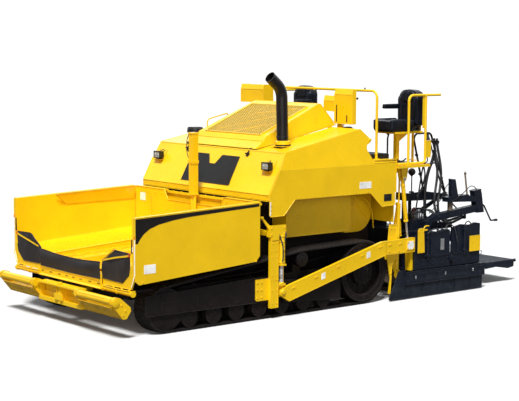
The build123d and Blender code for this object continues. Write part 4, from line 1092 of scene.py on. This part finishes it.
seat("left", 990, 2430)
seat("right", -1460, 2385)
for x in (950, -1390):
    for k in range(12):
        p.box(x + 8 + 36 * k, x + 26 + 36 * k, 1500, 1892, 2258, 2268, 2)
    p.box(x - 3, x + 443, 1494, 1894, 2192, 2260, 8, 2)
for x in (1010, -1430):
    for x0 in (x, x + 250):
        p.prism([(2080, 2118), (2200, 2118), (2196, 2132), (2084, 2176)], (x0, x0 + 110), 4)
p.done("step_mats_and_pedals", "mat")

# ------------------------------------------------------------------ tracks
IDLER, TENSIONER, DRIVE_WHEEL = (-2320, 330), (110, 800), (1340, 490)
BELT_CIRCLES = ((*IDLER, 330), (*TENSIONER, 150), (*DRIVE_WHEEL, 490))
ROLLER_HEIGHT = 180
LUGS = 114


def belt_line():
    """The hull of the belt's circles: its (station, height) points, their spacings and its length."""
    points = sorted(circle(s, z, r, t) for s, z, r in BELT_CIRCLES for t in turns(180))
    hull = []
    for sign in (1, -1):
        chain = []
        for q in points[::sign]:
            while len(chain) > 1 and ((chain[-1][0] - chain[-2][0]) * (q[1] - chain[-2][1])
                                      - (chain[-1][1] - chain[-2][1]) * (q[0] - chain[-2][0])) <= 0:
                chain.pop()
            chain.append(q)
        hull += chain[:-1]
    steps = [dist(a, b) for a, b in outline_ring(hull)]
    return hull, steps, sum(steps)


hull, steps, belt_length = belt_line()


def along_belt(distance):
    """The point at a distance along the belt's outer face, and the direction out of it."""
    k = 0
    distance %= belt_length
    while distance > steps[k]:
        distance -= steps[k]
        k += 1
    (s0, z0), (s1, z1) = hull[k], hull[(k + 1) % len(hull)]
    f = distance / steps[k]
    d = Vector((s1 - s0, z1 - z0)).normalized()
    return s0 + f * (s1 - s0), z0 + f * (z1 - z0), d.y, -d.x


pitch = belt_length / LUGS
for p in each_side():
    rings = []
    for k in range(LUGS):
        for share, drop in ((0.0, 8), (0.1, 0), (0.78, 0), (0.88, 8)):
            s, z, ns, nz = along_belt((k + share) * pitch)
            rings.append([(x, s - ns * w, z - nz * w) for x, w in (
                (1102, 38), (1102, 14 + drop), (1112, drop + 2), (1270, drop), (1275, drop + 5), (1280, drop),
                (1438, drop + 2), (1448, 14 + drop), (1448, 38), (1290, 39), (1260, 39))])
    p.solid(rings, 0, loop=True)
    for k in range(0, LUGS, 2):
        s, z, ns, nz = along_belt((k + 0.44) * pitch)
        ds, dz = -nz * 14, ns * 14
        p.solid([[(x, s + ds * f - ns * w, z + dz * f - nz * w)
                  for f, w in ((-1, 37), (1, 37), (0.6, 44), (-0.6, 44))] for x in (1262, 1288)], 0)
    p.done("_track_tread", "track", replaces="_track_belt")
    # wheel faces: hub caps, bolt circles, spokes, rim bands
    for s in (-1940, -1520, -1120, -700, -280, 140, 540):
        c = (s, ROLLER_HEIGHT)
        p.rod((1433, *c), (1446, *c), (0, 44), (0.5, 44), (0.8, 34), (1, 20), sides=24)
        p.boss((1433, *c), OUT, 5, 112, 104, 0.6, 40)
        p.bolt_circle((1438, *c), 74, 6, 8)
    for c, r, size in ((IDLER, 289, 9), (TENSIONER, 109, 6)):
        p.boss((1433, *c), OUT, 8, r - 12, r - 22, 0.6, 48)
        p.boss((1438, *c), OUT, 10, r * 0.36, r * 0.28, 0.6, 32)
        p.bolt_circle((1440, *c), r * 0.6, 8, size)
    s, z = DRIVE_WHEEL
    p.rod((1330, s, z), (1336, s, z), 348, sides=64)
    for r in (440, 356):
        ring = [[(1440 + 5 * cos(w), s + (r + 8 * sin(w)) * cos(t), z + (r + 8 * sin(w)) * sin(t))
                 for w in turns(4)] for t in turns(72)]
        p.solid(ring, 0, loop=True)
    for t in turns(12):
        u, w = cos(t), sin(t)
        p.solid([[(x, s + r * u - q * w, z + r * w + q * u)
                  for r, q in ((195, -16), (352, -10), (352, 10), (195, 16))] for x in (1334, 1352)], 3)
        p.bolt((1425, s + 160 * u, z + 160 * w), OUT, 12)
    p.bolt_circle((1440, s, z), 398, 30, 9)
    p.rod((1420, s, z), (1446, s, z), (0, 120), (0.5, 120), (0.6, 92), (0.85, 84), (1, 60), sides=48)
    p.done("_wheel_faces", "frame")
    # guard plates: worn lower edge, slots with a rim, bolts, stiffening ribs
    p.tubes(6, plane(1472, (-2708, 300), (-2690, 272), (-480, 252)),
            plane(1472, (-2700, 545), (-1620, 580), (-830, 613), (-482, 598)))
    p.tube(plane(1470, (-285, 202), (838, 154), (838, 424), (-283, 538)), 5)
    for s in (-2560, -2080, -1600, -1120, -640):
        p.bolts(plane(1474, (s, 310), (s, 528)), OUT, 10)
    for s in (-2330, -1360):
        p.prism([(s + a, 420 + b) for a, b in ((-110, -16), (110, -16), (126, 0), (110, 16), (-110, 16),
                                               (-126, 0))], (1472, 1477), 2)
    for s in (-2440, -1840, -880):
        p.prism([(s, 290), (s + 16, 290), (s + 16, 540), (s, 540)], (1472, 1479), 2)
    p.bolts(plane(1472, (-250, 230), (-250, 500), (300, 220), (300, 440), (800, 190), (800, 390)), OUT, 10)
    p.done("_skirt_fittings", "frame")
    p.box(1230, 1320, -1900, -100, 598, 604, 2)
    for s in (-1800, -1300, -800, -300):
        p.box(1225, 1325, s, s + 60, 600, 622, 4)
        p.bolts(grid((1245, 1305), s + 30, 622), UP, 9)
    p.rod((1275, -2250, 470), (1275, -1900, 470), (0, 50), (0.9, 50), (0.92, 34), (1, 34))
    p.tube([(1200, -1500, 620), (1190, -600, 640), (1180, 400, 700), (1150, 900, 760)], 14, 120)
    p.done("_roller_frame_fittings", "frame")

# ------------------------------------------------------------------ tow points and arms
TOW_ROD = (1509, -350)
TOW_PIN = (-360, 380)
LIFT_PIN = (2125, 1870)
LIFT_LINE = Vector((0, 130, -940)).normalized()
AUGER = (2130, 370)
AUGER_PITCH, AUGER_TURNS, AUGER_STEPS = 310, 4, 36


def arm_top(s):
    """Height of the tow arm's upper edge at a station."""
    return 448 + (s + 300) * 0.2549 if s < 1630 else 940


def on_lift(distance, x=0, s=0):
    """A point beside the lift cylinder's axis, at a distance below its upper pin."""
    return Vector((1460, *LIFT_PIN)) + LIFT_LINE * distance + Vector((x, s, 0))


for p in each_side():
    p.bolts(grid(1490, (-780, -700), (330, 440, 545)), OUT, 10)
    p.bolts(grid(1540, (-545, -460), (230, 420, 640, 900, 1100)), OUT, 8)
    p.boxes(1, (1538, 1543, -566, -436, 560, 566), (1538, 1543, -566, -436, 980, 986))
    for s in (-574, -436):
        p.tube(plane(1540, (s, 166), (s, 1184)), 5)
    p.bolts(grid(1548, (-570, -330), (1225, 1315)), OUT, 10)
    p.rod((*TOW_ROD, 1180), (*TOW_ROD, 1206), (0, 56), (0.5, 56), (0.55, 40), (1, 40), sides=32)
    for z in (800, 1100):
        p.collar((*TOW_ROD, z), UP, 22, 50, 55, 0.2, 32)
    p.boss((1559, -350, 1000), OUT, 13, 15, 10, 0.6, 16)
    p.box(1490, 1545, -760, -716, 1470, 1494, 4)
    p.rod((1495, -740, 1480), (1520, -740, 1480), 17)
    p.box(1462, 1474, -562, -438, 1180, 1270, 3)
    p.done("_tow_guide_fittings", "yellow")
    p.tube([(1559, -330, 1120), (1572, -320, 1180), (1540, -300, 1260), (1480, -300, 1330)], 9, 40)
    p.tube([(1559, -370, 820), (1574, -372, 900), (1574, -376, 1060), (1540, -420, 1220)], 9, 40)
    p.done("_tow_hoses", "hose")
    p.rod((*TOW_ROD, 502), (*TOW_ROD, 846), 30.6, sides=32)
    p.done("_tow_rod_chrome", "chrome", "_tow")
    p.rod((1545, *TOW_PIN), (1580, *TOW_PIN), (0, 25), (0.45, 25), (0.46, 36), (0.8, 36), (1, 30), sides=32)
    p.bolts(grid(1545, (-410, -316), 484), OUT, 8)
    p.boss((*TOW_ROD, 500), UP, 20, 40, 33, 0.7, 28)
    p.done("_tow_block_fittings", "yellow", "_tow")
    for s in (-180, 260, 700, 1180, 1560, 1760, 1980, 2180):
        z = arm_top(s) - 60
        p.bolts(plane(1560, (s, z), (s + 34, z + 9)), OUT, 11)
    p.bolts(grid(1560, (1760, 1980, 2180), 780), OUT, 11)
    p.tubes(4, plane(1558, (-396, 414), (-300, 447), (1630, 939), (2316, 949)),
            plane(1558, (-398, 332), (-240, 234), (1700, 732), (2316, 732)))
    p.boss((1560, *TOW_PIN), OUT, 6, 62, 56, 0.5, 40)
    p.prism([(1690, 744), (2300, 744), (2300, 752), (1690, 752)], (1559, 1563), 1)
    p.box(1559, 1572, 2140, 2300, 770, 910, 3)
    p.bolts(grid(1572, (2160, 2280), (790, 890)), OUT, 9)
    p.box(1500, 1560, 1700, 1706, 736, 934, 1)
    p.done("_arm_fittings", "yellow", "screed")
    for s in (380, 1290):
        z = arm_top(s) - 140
        p.prism([(s, z), (s + 78, z + 20), (s + 78, z + 112), (s, z + 92)], (1559, 1562), 0.8)
        for k in range(3):
            p.prism([(s + 8, z + 10 + 24 * k), (s + 70, z + 26 + 24 * k), (s + 70, z + 38 + 24 * k),
                     (s + 8, z + 22 + 24 * k)], (1561, 1563), 0.4)
    p.box(1571, 1574, 2150, 2290, 780, 905, 0.8)
    p.done("_arm_blank_decals", "decal", "screed")

    # lift cylinders: glands, pins, ports, rod wiper
    for d, r in ((86, 37), (648, 38)):
        p.rod(on_lift(d), on_lift(d + 30), (0, r - 4), (0.15, r), (0.85, r), (1, r - 4), sides=32)
    p.rod(on_lift(664), on_lift(684), (0, 36), (0.7, 34), (1, 24), sides=32)
    for d in (120, 620):
        p.rod(on_lift(d, 20, -20), on_lift(d, 28, -36), 12, sides=12)
    p.tube([on_lift(120, 26, -34), on_lift(180, 28, -38), on_lift(560, 28, -38), on_lift(618, 26, -34)],
           7, 30)
    p.done("_lift_barrel_fittings", "yellow", "_barrel")
    p.rod((1430, *LIFT_PIN), (1436, *LIFT_PIN), 24, sides=24)
    for a, b in ((1404, 1411), (1509, 1516)):
        p.rod((a, *LIFT_PIN), (b, *LIFT_PIN), (0, 26), (0.5, 26), (1, 20), sides=24)
    p.done("_lift_pins", "bright")
    # tapered link and curved brace beside the auger plate
    p.prism([(2052, 985), (2066, 1160), (2122, 1478), (2146, 1480), (2214, 1165), (2226, 985), (2200, 985),
             (2180, 1150), (2134, 1400), (2100, 1150), (2080, 985)], (1340, 1356), 3)
    p.rod((1332, 2134, 1470), (1362, 2134, 1470), 26)
    p.bolts(grid(1356, (2068, 2212), 1010), OUT, 9)
    for pts in (((1842, 1180), (1988, 1168), (1998, 642), (1908, 562), (1893, 332), (1878, 110)),
                ((1794, 711), (1842, 1180))):
        p.tube(plane(1482, *pts), 5)
    p.bolts(plane(1482, (1870, 1120), (1950, 1110), (1870, 800), (1950, 720), (1885, 420)), OUT, 10)
    p.box(1330, 1360, 2040, 2230, 960, 986, 4)
    p.done("_auger_link", "yellow")

    # auger: a true helix, with its joints and end bearing
    rings = []
    for k in range(AUGER_TURNS * AUGER_STEPS + 1):
        t = 2 * pi * k / AUGER_STEPS
        x = 76 + AUGER_PITCH * k / AUGER_STEPS
        rings.append([(x + dx, *circle(*AUGER, r, t))
                      for r, dx in ((34, -9), (160, -6), (165, 0), (160, 6), (34, 9))])
    p.solid(rings, 0)
    p.rod((34, *AUGER), (1370, *AUGER), 36, sides=32)
    for x in (330, 640, 950, 1260):
        p.collar((x, *AUGER), OUT, 40, 42, 46, 0.1, 32)
        p.bolt((x + 20, 2130, 414), UP, 8)
    p.done("_auger_flight", "worn", "_screw", replaces="_auger")
    p.boss((1378, *AUGER), OUT, 18, 74, 60, 0.6, 32)
    p.bolt_circle((1392, *AUGER), 58, 4, 9, 0.5)
    p.box(300, 1300, 1893, 1900, 640, 650, 2)
    p.bolts(grid((200, 500, 800, 1100), 1965, 740), UP, 10)
    p.done("_auger_bearing", "yellow")

# ------------------------------------------------------------------ screed
GUIDE_TUBE = (3440, 860)


def tray_top(s):
    """Height of the tray's rim at a station."""
    return 1568 + min(0.0333 * (s - 3130), -0.1357 * (s - 3130))


def stand_top(s):
    """Height of the control stand's upper edge at a station."""
    return 1228 + 0.0947 * (s - 3080)


p = Piece()
for p.side in BOTH:
    for x in (60, 420, 780, 1140, 1400):
        p.bolts(grid(x, 2398, (110, 370)), FRONT, 11)
        p.box(x + 40, x + 52, 2380, 2400, 60, 415, 3)
    p.boxes(3, (0, 1436, 2384, 2400, 404, 420), (0, 1436, 2384, 2400, 56, 72))
    for x in (120, 480, 840, 1200):
        p.box(x, x + 14, 2440, 2452, 420, 990, 3)
        p.bolts(grid(x + 50, 2448, (480, 720, 940)), FRONT, 9)
    p.box(20, 1296, 2436, 2452, 984, 1002, 4)
    p.boxes(5, (200, 620, 2500, 2900, 1000, 1012), (720, 1100, 2500, 2900, 1000, 1010))
    p.tube([(230, 2520, 1030), (230, 2520, 1070), (380, 2520, 1070), (380, 2520, 1030)], 9, 18)
    p.bolts(grid((224, 596), (2530, 2870), 1012), UP, 8)
    for x in (1190, 1400):
        p.collar((x, *GUIDE_TUBE), OUT, 24, 52, 56, 0.2, 32)
        p.bolts(grid(x + 12, (3000, 3120, 3240), 921), UP, 9)
    p.bolts(grid(1440, (2440, 2700, 2960), (480, 640)), OUT, 9)
p.done("screed_frame_fittings", "screed", "screed")
p.prism([(2352, 80), (2362, 33), (2384, 18), (2384, 26), (2366, 38), (2358, 82)], (-1436, 1436), 1)
p.box(-1438, 1438, 3022, 3034, 12, 54, 2)
for x in range(-1380, 1381, 230):
    p.bolt((x, 3034, 36), REAR, 8)
p.done("screed_plate_edges", "worn", "screed")
# tray: folded rim, ribs, feet plates
for p.side in BOTH:
    p.tube(plane(948, (2742, 1554), (3130, 1566), (3688, 1491)), 7, 40)
    p.prism([(2740, 1440), (2740, 1446), (3718, 1414), (3718, 1408)], (946, 954), 1)
    for s in (2960, 3240, 3520):
        z = tray_top(s) - 8
        p.prism([(s, 1444), (s + 10, 1444), (s + 10, z), (s, z)], (946, 955), 2)
    p.bolts([(950, s, tray_top(s) - 28) for s in (2790, 3080, 3380, 3640)], OUT, 8)
    p.tubes(7, [(352, 2742, 1554), (948, 2742, 1554)], [(352, 3690, 1491), (948, 3690, 1491)])
    for s in (2770, 2910):
        p.box(800, 880, s - 25, s + 45, 1000, 1010, 3)
p.side = 1
for x in range(-900, 901, 60):
    p.prism([(2760, 1451), (2760, 1457), (3670, 1427), (3670, 1421)], (x, x + 14), 1)
p.done("tray_rims", "screed", "screed")
p.box(-446, 446, 2592, 2604, 1010, 1170, 4)
for k in range(6):
    x = -400 + 150 * k
    p.box(x, x + 70, 2560, 2600, 1040, 1130, 6)
    p.rod((x + 35, 2560, 1085), (x + 35, 2524, 1085), (0, 26), (0.5, 24), (0.55, 16), (1, 14), sides=20)
    p.boss((x + 20, 2640, 1180), UP, 24, 18, 12, 0.6, 6)
    p.tube([(x + 50, 2700, 1180), (x + 52, 2700, 1240), (x + 80, 2790, 1250), (x + 90, 2860, 1120),
            (x + 90, 2890, 1004)], 11, 50)
p.rod((300, 2700, 1338), (300, 2700, 1380), (0, 62), (0.2, 64), (0.7, 64), (0.75, 40), (1, 36), sides=32)
p.done("manifold_valves", "plastic", "screed")
for k in range(4):
    x = -220 + 90 * k
    p.rod((x, 2650, 1300), (x, 2650, 1330), (0, 24), (0.5, 24), (0.6, 15), (1, 15), sides=6)
p.box(-240, 140, 2562, 2566, 1210, 1280, 2)
p.done("manifold_caps", "bright", "screed")

for p in each_side():
    # hose carrier: clamps, feet bolts, the ball's neck, hose ends, cables tied along the legs
    for c in ((3059, 1855), (2975, 2165), (3400, 2210), (3560, 1765)):
        p.rod((905, *c), (945, *c), (0, 20), (0.5, 27), (1, 20), sides=16)
    for s, z in ((2872, 1584), (3143, 1590), (3650, 1524)):
        p.bolts([(922, s + d, z) for d in (-24, 24)], UP, 7)
    p.rod((925, 2872, 1830), (925, 2872, 1850), (0, 14), (0.5, 22), (1, 14), sides=20)
    p.rod((925, 2872, 1894), (925, 2872, 1906), (0, 61), (0.5, 63), (1, 61), sides=36)
    p.box(1060, 1160, 3184, 3246, 2350, 2364, 3)
    for x in (1080, 1140):
        p.rod((x, 3215, 2330), (x, 3215, 2400), (0, 27), (0.5, 27), (0.55, 22), (1, 20), sides=6)
        p.boss((x, 3215, 2398), UP, 38, 20, 13, 0.6, 16)
    p.done("_mast_fittings", "black", "screed")
    p.tube([(948, 3215, 2505), (962, 3190, 2350), (956, 3120, 2080), (950, 3060, 1800), (962, 3010, 1600),
            (966, 2960, 1400), (975, 2920, 1250), (985, 2900, 1150)], 12, 90)
    p.tube([(905, 3240, 2505), (892, 3330, 2320), (894, 3450, 2000), (898, 3560, 1700), (900, 3640, 1540),
            (980, 3720, 1380), (1060, 3830, 1230), (1130, 3856, 1190)], 12, 90)
    p.tube([(1000, 2720, 1150), (1000, 2722, 1230), (1004, 2900, 1330), (1120, 3060, 1290),
            (1230, 3080, 1236)], 14, 90)
    p.done("_mast_hoses", "hose", "screed")
    # control stand: box seams, plates, crank knob, screw, spring, lever, cables
    for x in (1184, 1272):
        p.tube(plane(x, (2862, 1132), (3080, 1229), (4028, 1319)), 4)
    for s in (3120, 3330, 3620, 3860):
        p.box(1182, 1278, s, s + 10, stand_top(s) - 60, stand_top(s) - 10, 2)
    p.bolts([(1275, s, stand_top(s) - 48) for s in (3140, 3160, 3640, 3660, 3990)], OUT, 9)
    p.prism([(3960, 1546), (4128, 1568), (4128, 1580), (3958, 1558)], (1170, 1290), 4)
    p.prism([(4060, 1196), (4200, 1196), (4140, 1520), (4020, 1500)], (1284, 1290), 3)
    p.bolts(plane(1288, (4080, 1230), (4160, 1240), (4060, 1470), (4110, 1490)), OUT, 8)
    p.prism([(3452, 1500), (3448, 1768), (3512, 1760), (3576, 1500)], (1274, 1280), 3)
    p.prism([(3521, 1762), (3588, 1488), (3598, 1492), (3530, 1768)], (1199, 1271), 3)
    p.prism([(3345, 1476), (3800, 1496), (3800, 1508), (3345, 1488)], (1146, 1294), 3)
    p.rod((1230, 4530, 1030), (1230, 4600, 1030), (0, 17), (0.1, 21), (0.8, 21), (1, 15), sides=20)
    p.rod((1230, 4140, 1340), (1230, 4186, 1322), (0, 30), (0.6, 30), (1, 20), sides=28)
    p.rod((1230, 3450, 1250), (1230, 3450, 1410), 34, sides=24)
    p.boss((1165, 3860, 1260), UP, 30, 22, 16, 0.6, 6)
    p.box(1196, 1234, 3850, 3890, 1440, 1500, 5)
    p.done("_stand_fittings", "screed", "screed")
    p.coil((1230, 3450, 1262), (1230, 3450, 1400), 40, 5, 8)
    p.rod((1216, 3810, 1856), (1218, 3806, 1876), (0, 20), (1, 9), sides=20)
    p.tube(plane(1215, (3869, 1480), (3812, 1826)), 15)
    p.done("_stand_bright_parts", "tan", "screed")
    for s, z in ((3541, 1700), (3559, 1625), (3577, 1550)):
        for x in (1215, 1250):
            p.rod((x, s, z), (x, s + 16, z + 7), (0, 13), (0.7, 13), (1, 9), sides=16)
    p.tube([(1296, 3380, 1400), (1302, 3560, 1470), (1292, 3740, 1566), (1256, 3890, 1640),
            (1244, 4000, 1628), (1240, 4070, 1566)], 7, 90)
    p.tube([(1200, 3444, 1700), (1190, 3380, 1640), (1180, 3340, 1500), (1160, 3180, 1330),
            (1120, 3080, 1230)], 7, 60)
    p.done("_stand_cables", "plastic", "screed")
    p.box(925, 975, 2882, 2940, 1268, 1310, 6, 2)
    p.boss((950, 2912, 1310), UP, 16, 18, 12)
    p.done("_red_valve", "red", "screed")
    p.box(918, 1000, 2876, 2962, 1150, 1270, 5)
    p.boss((966, 3000, 1150), UP, 150, 32, 22, 0.9, 24)
    p.done("_valve_block", "bright", "screed")
    # valve housings on the screed's deck: lids, bolts, hose ends, a sleeve of hoses to the carrier
    p.box(884, 1166, 2604, 3226, 1148, 1158, 3)
    p.bolts(grid((900, 1150), (2630, 2780, 3060, 3200), 1158), UP, 9)
    for s in (2640, 2860, 3080):
        p.box(1168, 1174, s, s + 120, 1020, 1130, 4)
        p.bolts([(1174, s + d, z) for d in (14, 106) for z in (1034, 1116)], OUT, 7)
    p.box(884, 1046, 3236, 3696, 1048, 1056, 3)
    p.bolts(grid((900, 1030), (3260, 3460, 3670), 1056), UP, 8)
    for s in (3290, 3400, 3510, 3620):
        p.rod((1048, s, 1000), (1078, s, 1000), (0, 24), (0.5, 24), (0.55, 16), (1, 14), sides=6)
    p.done("_valve_housing_lids", "screed", "screed")
    p.tube([(1000, 3312, 2240), (985, 3290, 2080), (960, 3215, 1900), (965, 3160, 1720), (970, 3130, 1560),
            (985, 3120, 1400), (1000, 3110, 1160)], 26, 120)
    for k, s in enumerate((3290, 3400, 3510, 3620)):
        p.tube([(1076, s, 1000), (1100, s, 1000), (1112 + 8 * k, s, 940), (1120, s + 10, 860)], 11, 30)
    p.tube([(1010, 3030, 1158), (1012, 3035, 1260), (1030, 3190, 1290), (1040, 3330, 1190),
            (1044, 3420, 1056)], 12, 70)
    p.tube([(1130, 2700, 1158), (1132, 2702, 1240), (1136, 2850, 1290), (1140, 2980, 1230),
            (1142, 3010, 1158)], 12, 60)
    p.done("_valve_housing_hoses", "plastic", "screed")

    # extension: plates, guide tube, boxes, rails, bolts
    p.tubes(5, plane(1530, (2347, 432), (2347, 958), (2520, 988), (2900, 988), (2990, 1018), (3133, 998),
                     (3133, 432)),
            plane(1530, (3192, 432), (3192, 1038), (3400, 1073), (3600, 1048), (3720, 1078), (3838, 1058),
                  (3838, 432)))
    p.bolts(grid(1530, (2560, 2760, 2960, 3100, 3240, 3420, 3560), (502, 570)), OUT, 10)
    p.boxes(4, (1529, 1540, 2560, 3120, 610, 640), (1529, 1540, 3200, 3560, 610, 640),
            (1529, 1545, 2700, 2740, 640, 960), (1529, 1545, 3300, 3340, 640, 1040))
    p.rod((1548, 2620, 580), (1548, 2620, 985), 17, sides=20)
    p.rod((1548, 3462, 600), (1548, 3462, 1040), 21, sides=20)
    for s, z in ((2620, 640), (2620, 920), (3462, 660), (3462, 990)):
        p.box(1528, 1572, s - 32, s + 32, z - 14, z + 14, 4)
    p.prism([(2900, 990), (2990, 1020), (3134, 1000), (3134, 1012), (2990, 1034), (2898, 1003)], (1497, 1530),
            3)
    p.box(1500, 1528, 2540, 2700, 990, 1040, 5)
    p.box(1496, 1560, 3120, 3200, 520, 590, 6)
    p.bolts(grid(1560, (3136, 3184), (536, 574)), OUT, 9)
    for x in range(120, 1480, 220):
        p.bolts(grid(x, 3820, (110, 580)), REAR, 11)
        p.box(x + 60, x + 72, 3818, 3834, 60, 276, 4)
    p.boxes(4, (40, 1490, 3814, 3832, 624, 644), (40, 1490, 3816, 3830, 50, 64))
    p.boss((1484, *GUIDE_TUBE), OUT, 16, 60, 46, 0.6, 32)
    p.done("_extension_fittings", "screed", "_ext")
    p.rod((46, *GUIDE_TUBE), (1436, *GUIDE_TUBE), 40.6, sides=40)
    p.done("_guide_tube_chrome", "chrome", "_ext")
    p.prism([(2379, 700), (2379, 1056), (2404, 1079), (2496, 1079), (2519, 700)], (1570, 1575), 2)
    p.tube(plane(1573, (2377, 700), (2377, 1060), (2402, 1083), (2500, 1083), (2523, 700)), 4)
    p.bolts(grid(1574, (2400, 2496), (730, 1030)), OUT, 8)
    p.box(1525, 1560, 2420, 2600, 1040, 1062, 4)
    p.tube(plane(1545, (2520, 1062), (2560, 1110), (2640, 1108)), 9, 20)
    p.box(1559, 1563, 3574, 3816, 629, 871, 3)
    p.tube(plane(1562, (3572, 628), (3818, 628), (3818, 873), (3572, 873), (3572, 628)), 4)
    p.bolts(grid(1563, (3592, 3798), (648, 852)), OUT, 7)
    p.done("_yellow_boxes", "yellow", "_ext")
    p.prism([(2930, 700), (3010, 700), (3010, 880), (2930, 880)], (1529, 1534), 3)
    p.bolts(grid(1534, (2944, 2996), (716, 864)), OUT, 7)
    p.tube([(1530, 3836, 556), (1536, 3880, 560), (1536, 3894, 596), (1530, 3870, 612)], 9, 14)
    p.done("_bright_plate", "bright", "_ext")
    p.tube([(1540, 3000, 1010), (1556, 3060, 1110), (1550, 3180, 1080), (1545, 3250, 1000),
            (1548, 3300, 800)], 8, 50)
    p.tube([(1548, 3462, 1040), (1552, 3480, 1100), (1540, 3560, 1120), (1530, 3640, 1060)], 9, 30)
    p.tube([(1534, 2640, 990), (1548, 2700, 1040), (1540, 2840, 1050), (1536, 2900, 1000)], 10, 40)
    p.done("_extension_cables", "hose", "_ext")
    # end gate: channel rails with springs, wear shoe and its bolts
    p.tubes(6, plane(1576, (2117, 425), (3924, 410)), plane(1576, (2117, 234), (3924, 224)))
    p.prism([(2118, 260), (2118, 300), (3922, 292), (3922, 252)], (1576, 1584), 3)
    p.prism([(2118, 370), (2118, 400), (3922, 386), (3922, 356)], (1576, 1584), 3)
    for s in (2200, 2520, 2840, 3160, 3480, 3800):
        p.box(1572, 1586, s, s + 44, 244, 412, 3)
        p.bolts(grid(1584, s + 22, (282, 374)), OUT, 9)
    p.prism([(1800, 14), (1806, 34), (3883, 34), (3883, 14)], (1552, 1566), 3)
    for s in (2060, 2420, 2780, 3140, 3500):
        p.bolt((1556, s, 90), OUT, 11)
        p.bolt((1556, s + 60, 180), OUT, 9)
        p.box(1555, 1566, s + 110, s + 122, 30, 232, 3)
    p.tube(plane(1556, (1792, 34), (1990, 450), (2120, 452)), 5)
    p.done("_gate_rails", "screed", "_gate")
    for s in (2330, 3000, 3640):
        p.coil((1584, s, 306), (1584, s, 352), 9, 3, 5, 6)
        p.rod((1584, s, 300), (1584, s, 358), 4, sides=8)
    p.done("_gate_springs", "bright", "_gate")
    # walkway: tread strips, rim, hinges, ribs
    for s in range(4160, 4801, 40):
        p.box(76, 1382, s, s + 12, 359, 364, 1.5)
    p.tube([(64, 4126, 360), (64, 4846, 360), (1396, 4846, 360), (1396, 4126, 360)], 5)
    p.bolts(grid(1400, (4200, 4480, 4760), 330), OUT, 8)
    for x in (330, 1030):
        p.rod((x - 44, 4090, 330), (x + 44, 4090, 330), 20, sides=24)
    p.rod((1365, 4900, 340), (1365, 4916, 340), (0, 24), (0.5, 30), (1, 24), sides=24)
    for x in (400, 800, 1200):
        p.box(x, x + 10, 4150, 4840, 312, 337, 3)
    p.done("_walkway_treads", "screed", "_walk")

# ------------------------------------------------------------------ stage
LAMPS = (  # name, direction toward the sun, strength, width in degrees
    ("key", (0.42, -0.5, 1.0), 4.5, 14),
    ("front", (0.8, -0.6, 0.1), 1.15, 40),
    ("rear", (-0.7, 0.7, 0.2), 0.45, 60),
)
SKY_BRIGHT_SIDE = (-0.45, 0.35, 0.82)
DIFFUSE_SKY = 0.15


def grey(first, second, grain, n):
    """A diffuse shader that drifts between two linear colours."""
    return n.add("BsdfDiffuse", Color=n.mix(grain, first, second)).outputs[0]


def make_floor():
    """A floor that is pale to the camera, keeps the shadow and throws little light on the object."""
    bpy.ops.mesh.primitive_plane_add(size=400, location=(0, 0, -0.002))
    floor = bpy.context.object
    floor.name = "floor"
    n = material_nodes("floor_paint")
    grain = n.noise(3, 4)
    dim = grey((0.16, 0.155, 0.15), (0.18, 0.175, 0.17), grain, n)
    pale = grey((0.76, 0.76, 0.76), (0.78, 0.78, 0.78), grain, n)
    glow = n.add("Emission", Color=(1, 1, 1, 1), Strength=0.02)
    both = n.add("AddShader", in0=pale, in1=glow.outputs[0])
    rays = n.add("LightPath")
    seen = n.math("MAXIMUM", rays.outputs["Is Camera Ray"], rays.outputs["Is Transmission Ray"])
    pick = n.add("MixShader", in0=seen, in1=dim, in2=both.outputs[0])
    n.plug(n.output, "Surface", pick.outputs[0])
    floor.data.materials.append(n.block)


def make_world():
    """White to the camera; a sky brighter on one side lights the object, weaker for diffuse rays."""
    n = Nodes(bpy.data.worlds.new("world"), "OutputWorld", "Generated")
    rays = n.add("LightPath")
    climb = n.ramp(n.dot(n.coords, SKY_BRIGHT_SIDE), -0.1, 0.6, 0.1, 1.2)
    share = n.ramp(rays.outputs["Is Glossy Ray"], 0, 1, DIFFUSE_SKY)
    sky = n.add("Background", Color=(0.93, 0.96, 1, 1), Strength=n.math("MULTIPLY", climb, share))
    white = n.add("Background", Color=(1, 1, 1, 1))
    pick = n.add("MixShader", in0=rays.outputs["Is Camera Ray"], in1=sky.outputs[0], in2=white.outputs[0])
    n.plug(n.output, "Surface", pick.outputs[0])
    scene.world = n.block


make_floor()
make_world()
for name, toward, strength, width in LAMPS:
    data = bpy.data.lights.new(name, "SUN")
    data.energy = strength
    data.angle = radians(width)
    lamp = bpy.data.objects.new(name, data)
    lamp.rotation_euler = Vector(toward).to_track_quat("Z", "Y").to_euler()
    scene.collection.objects.link(lamp)
scene.view_settings.view_transform = "Standard"

bpy.context.view_layer.update()
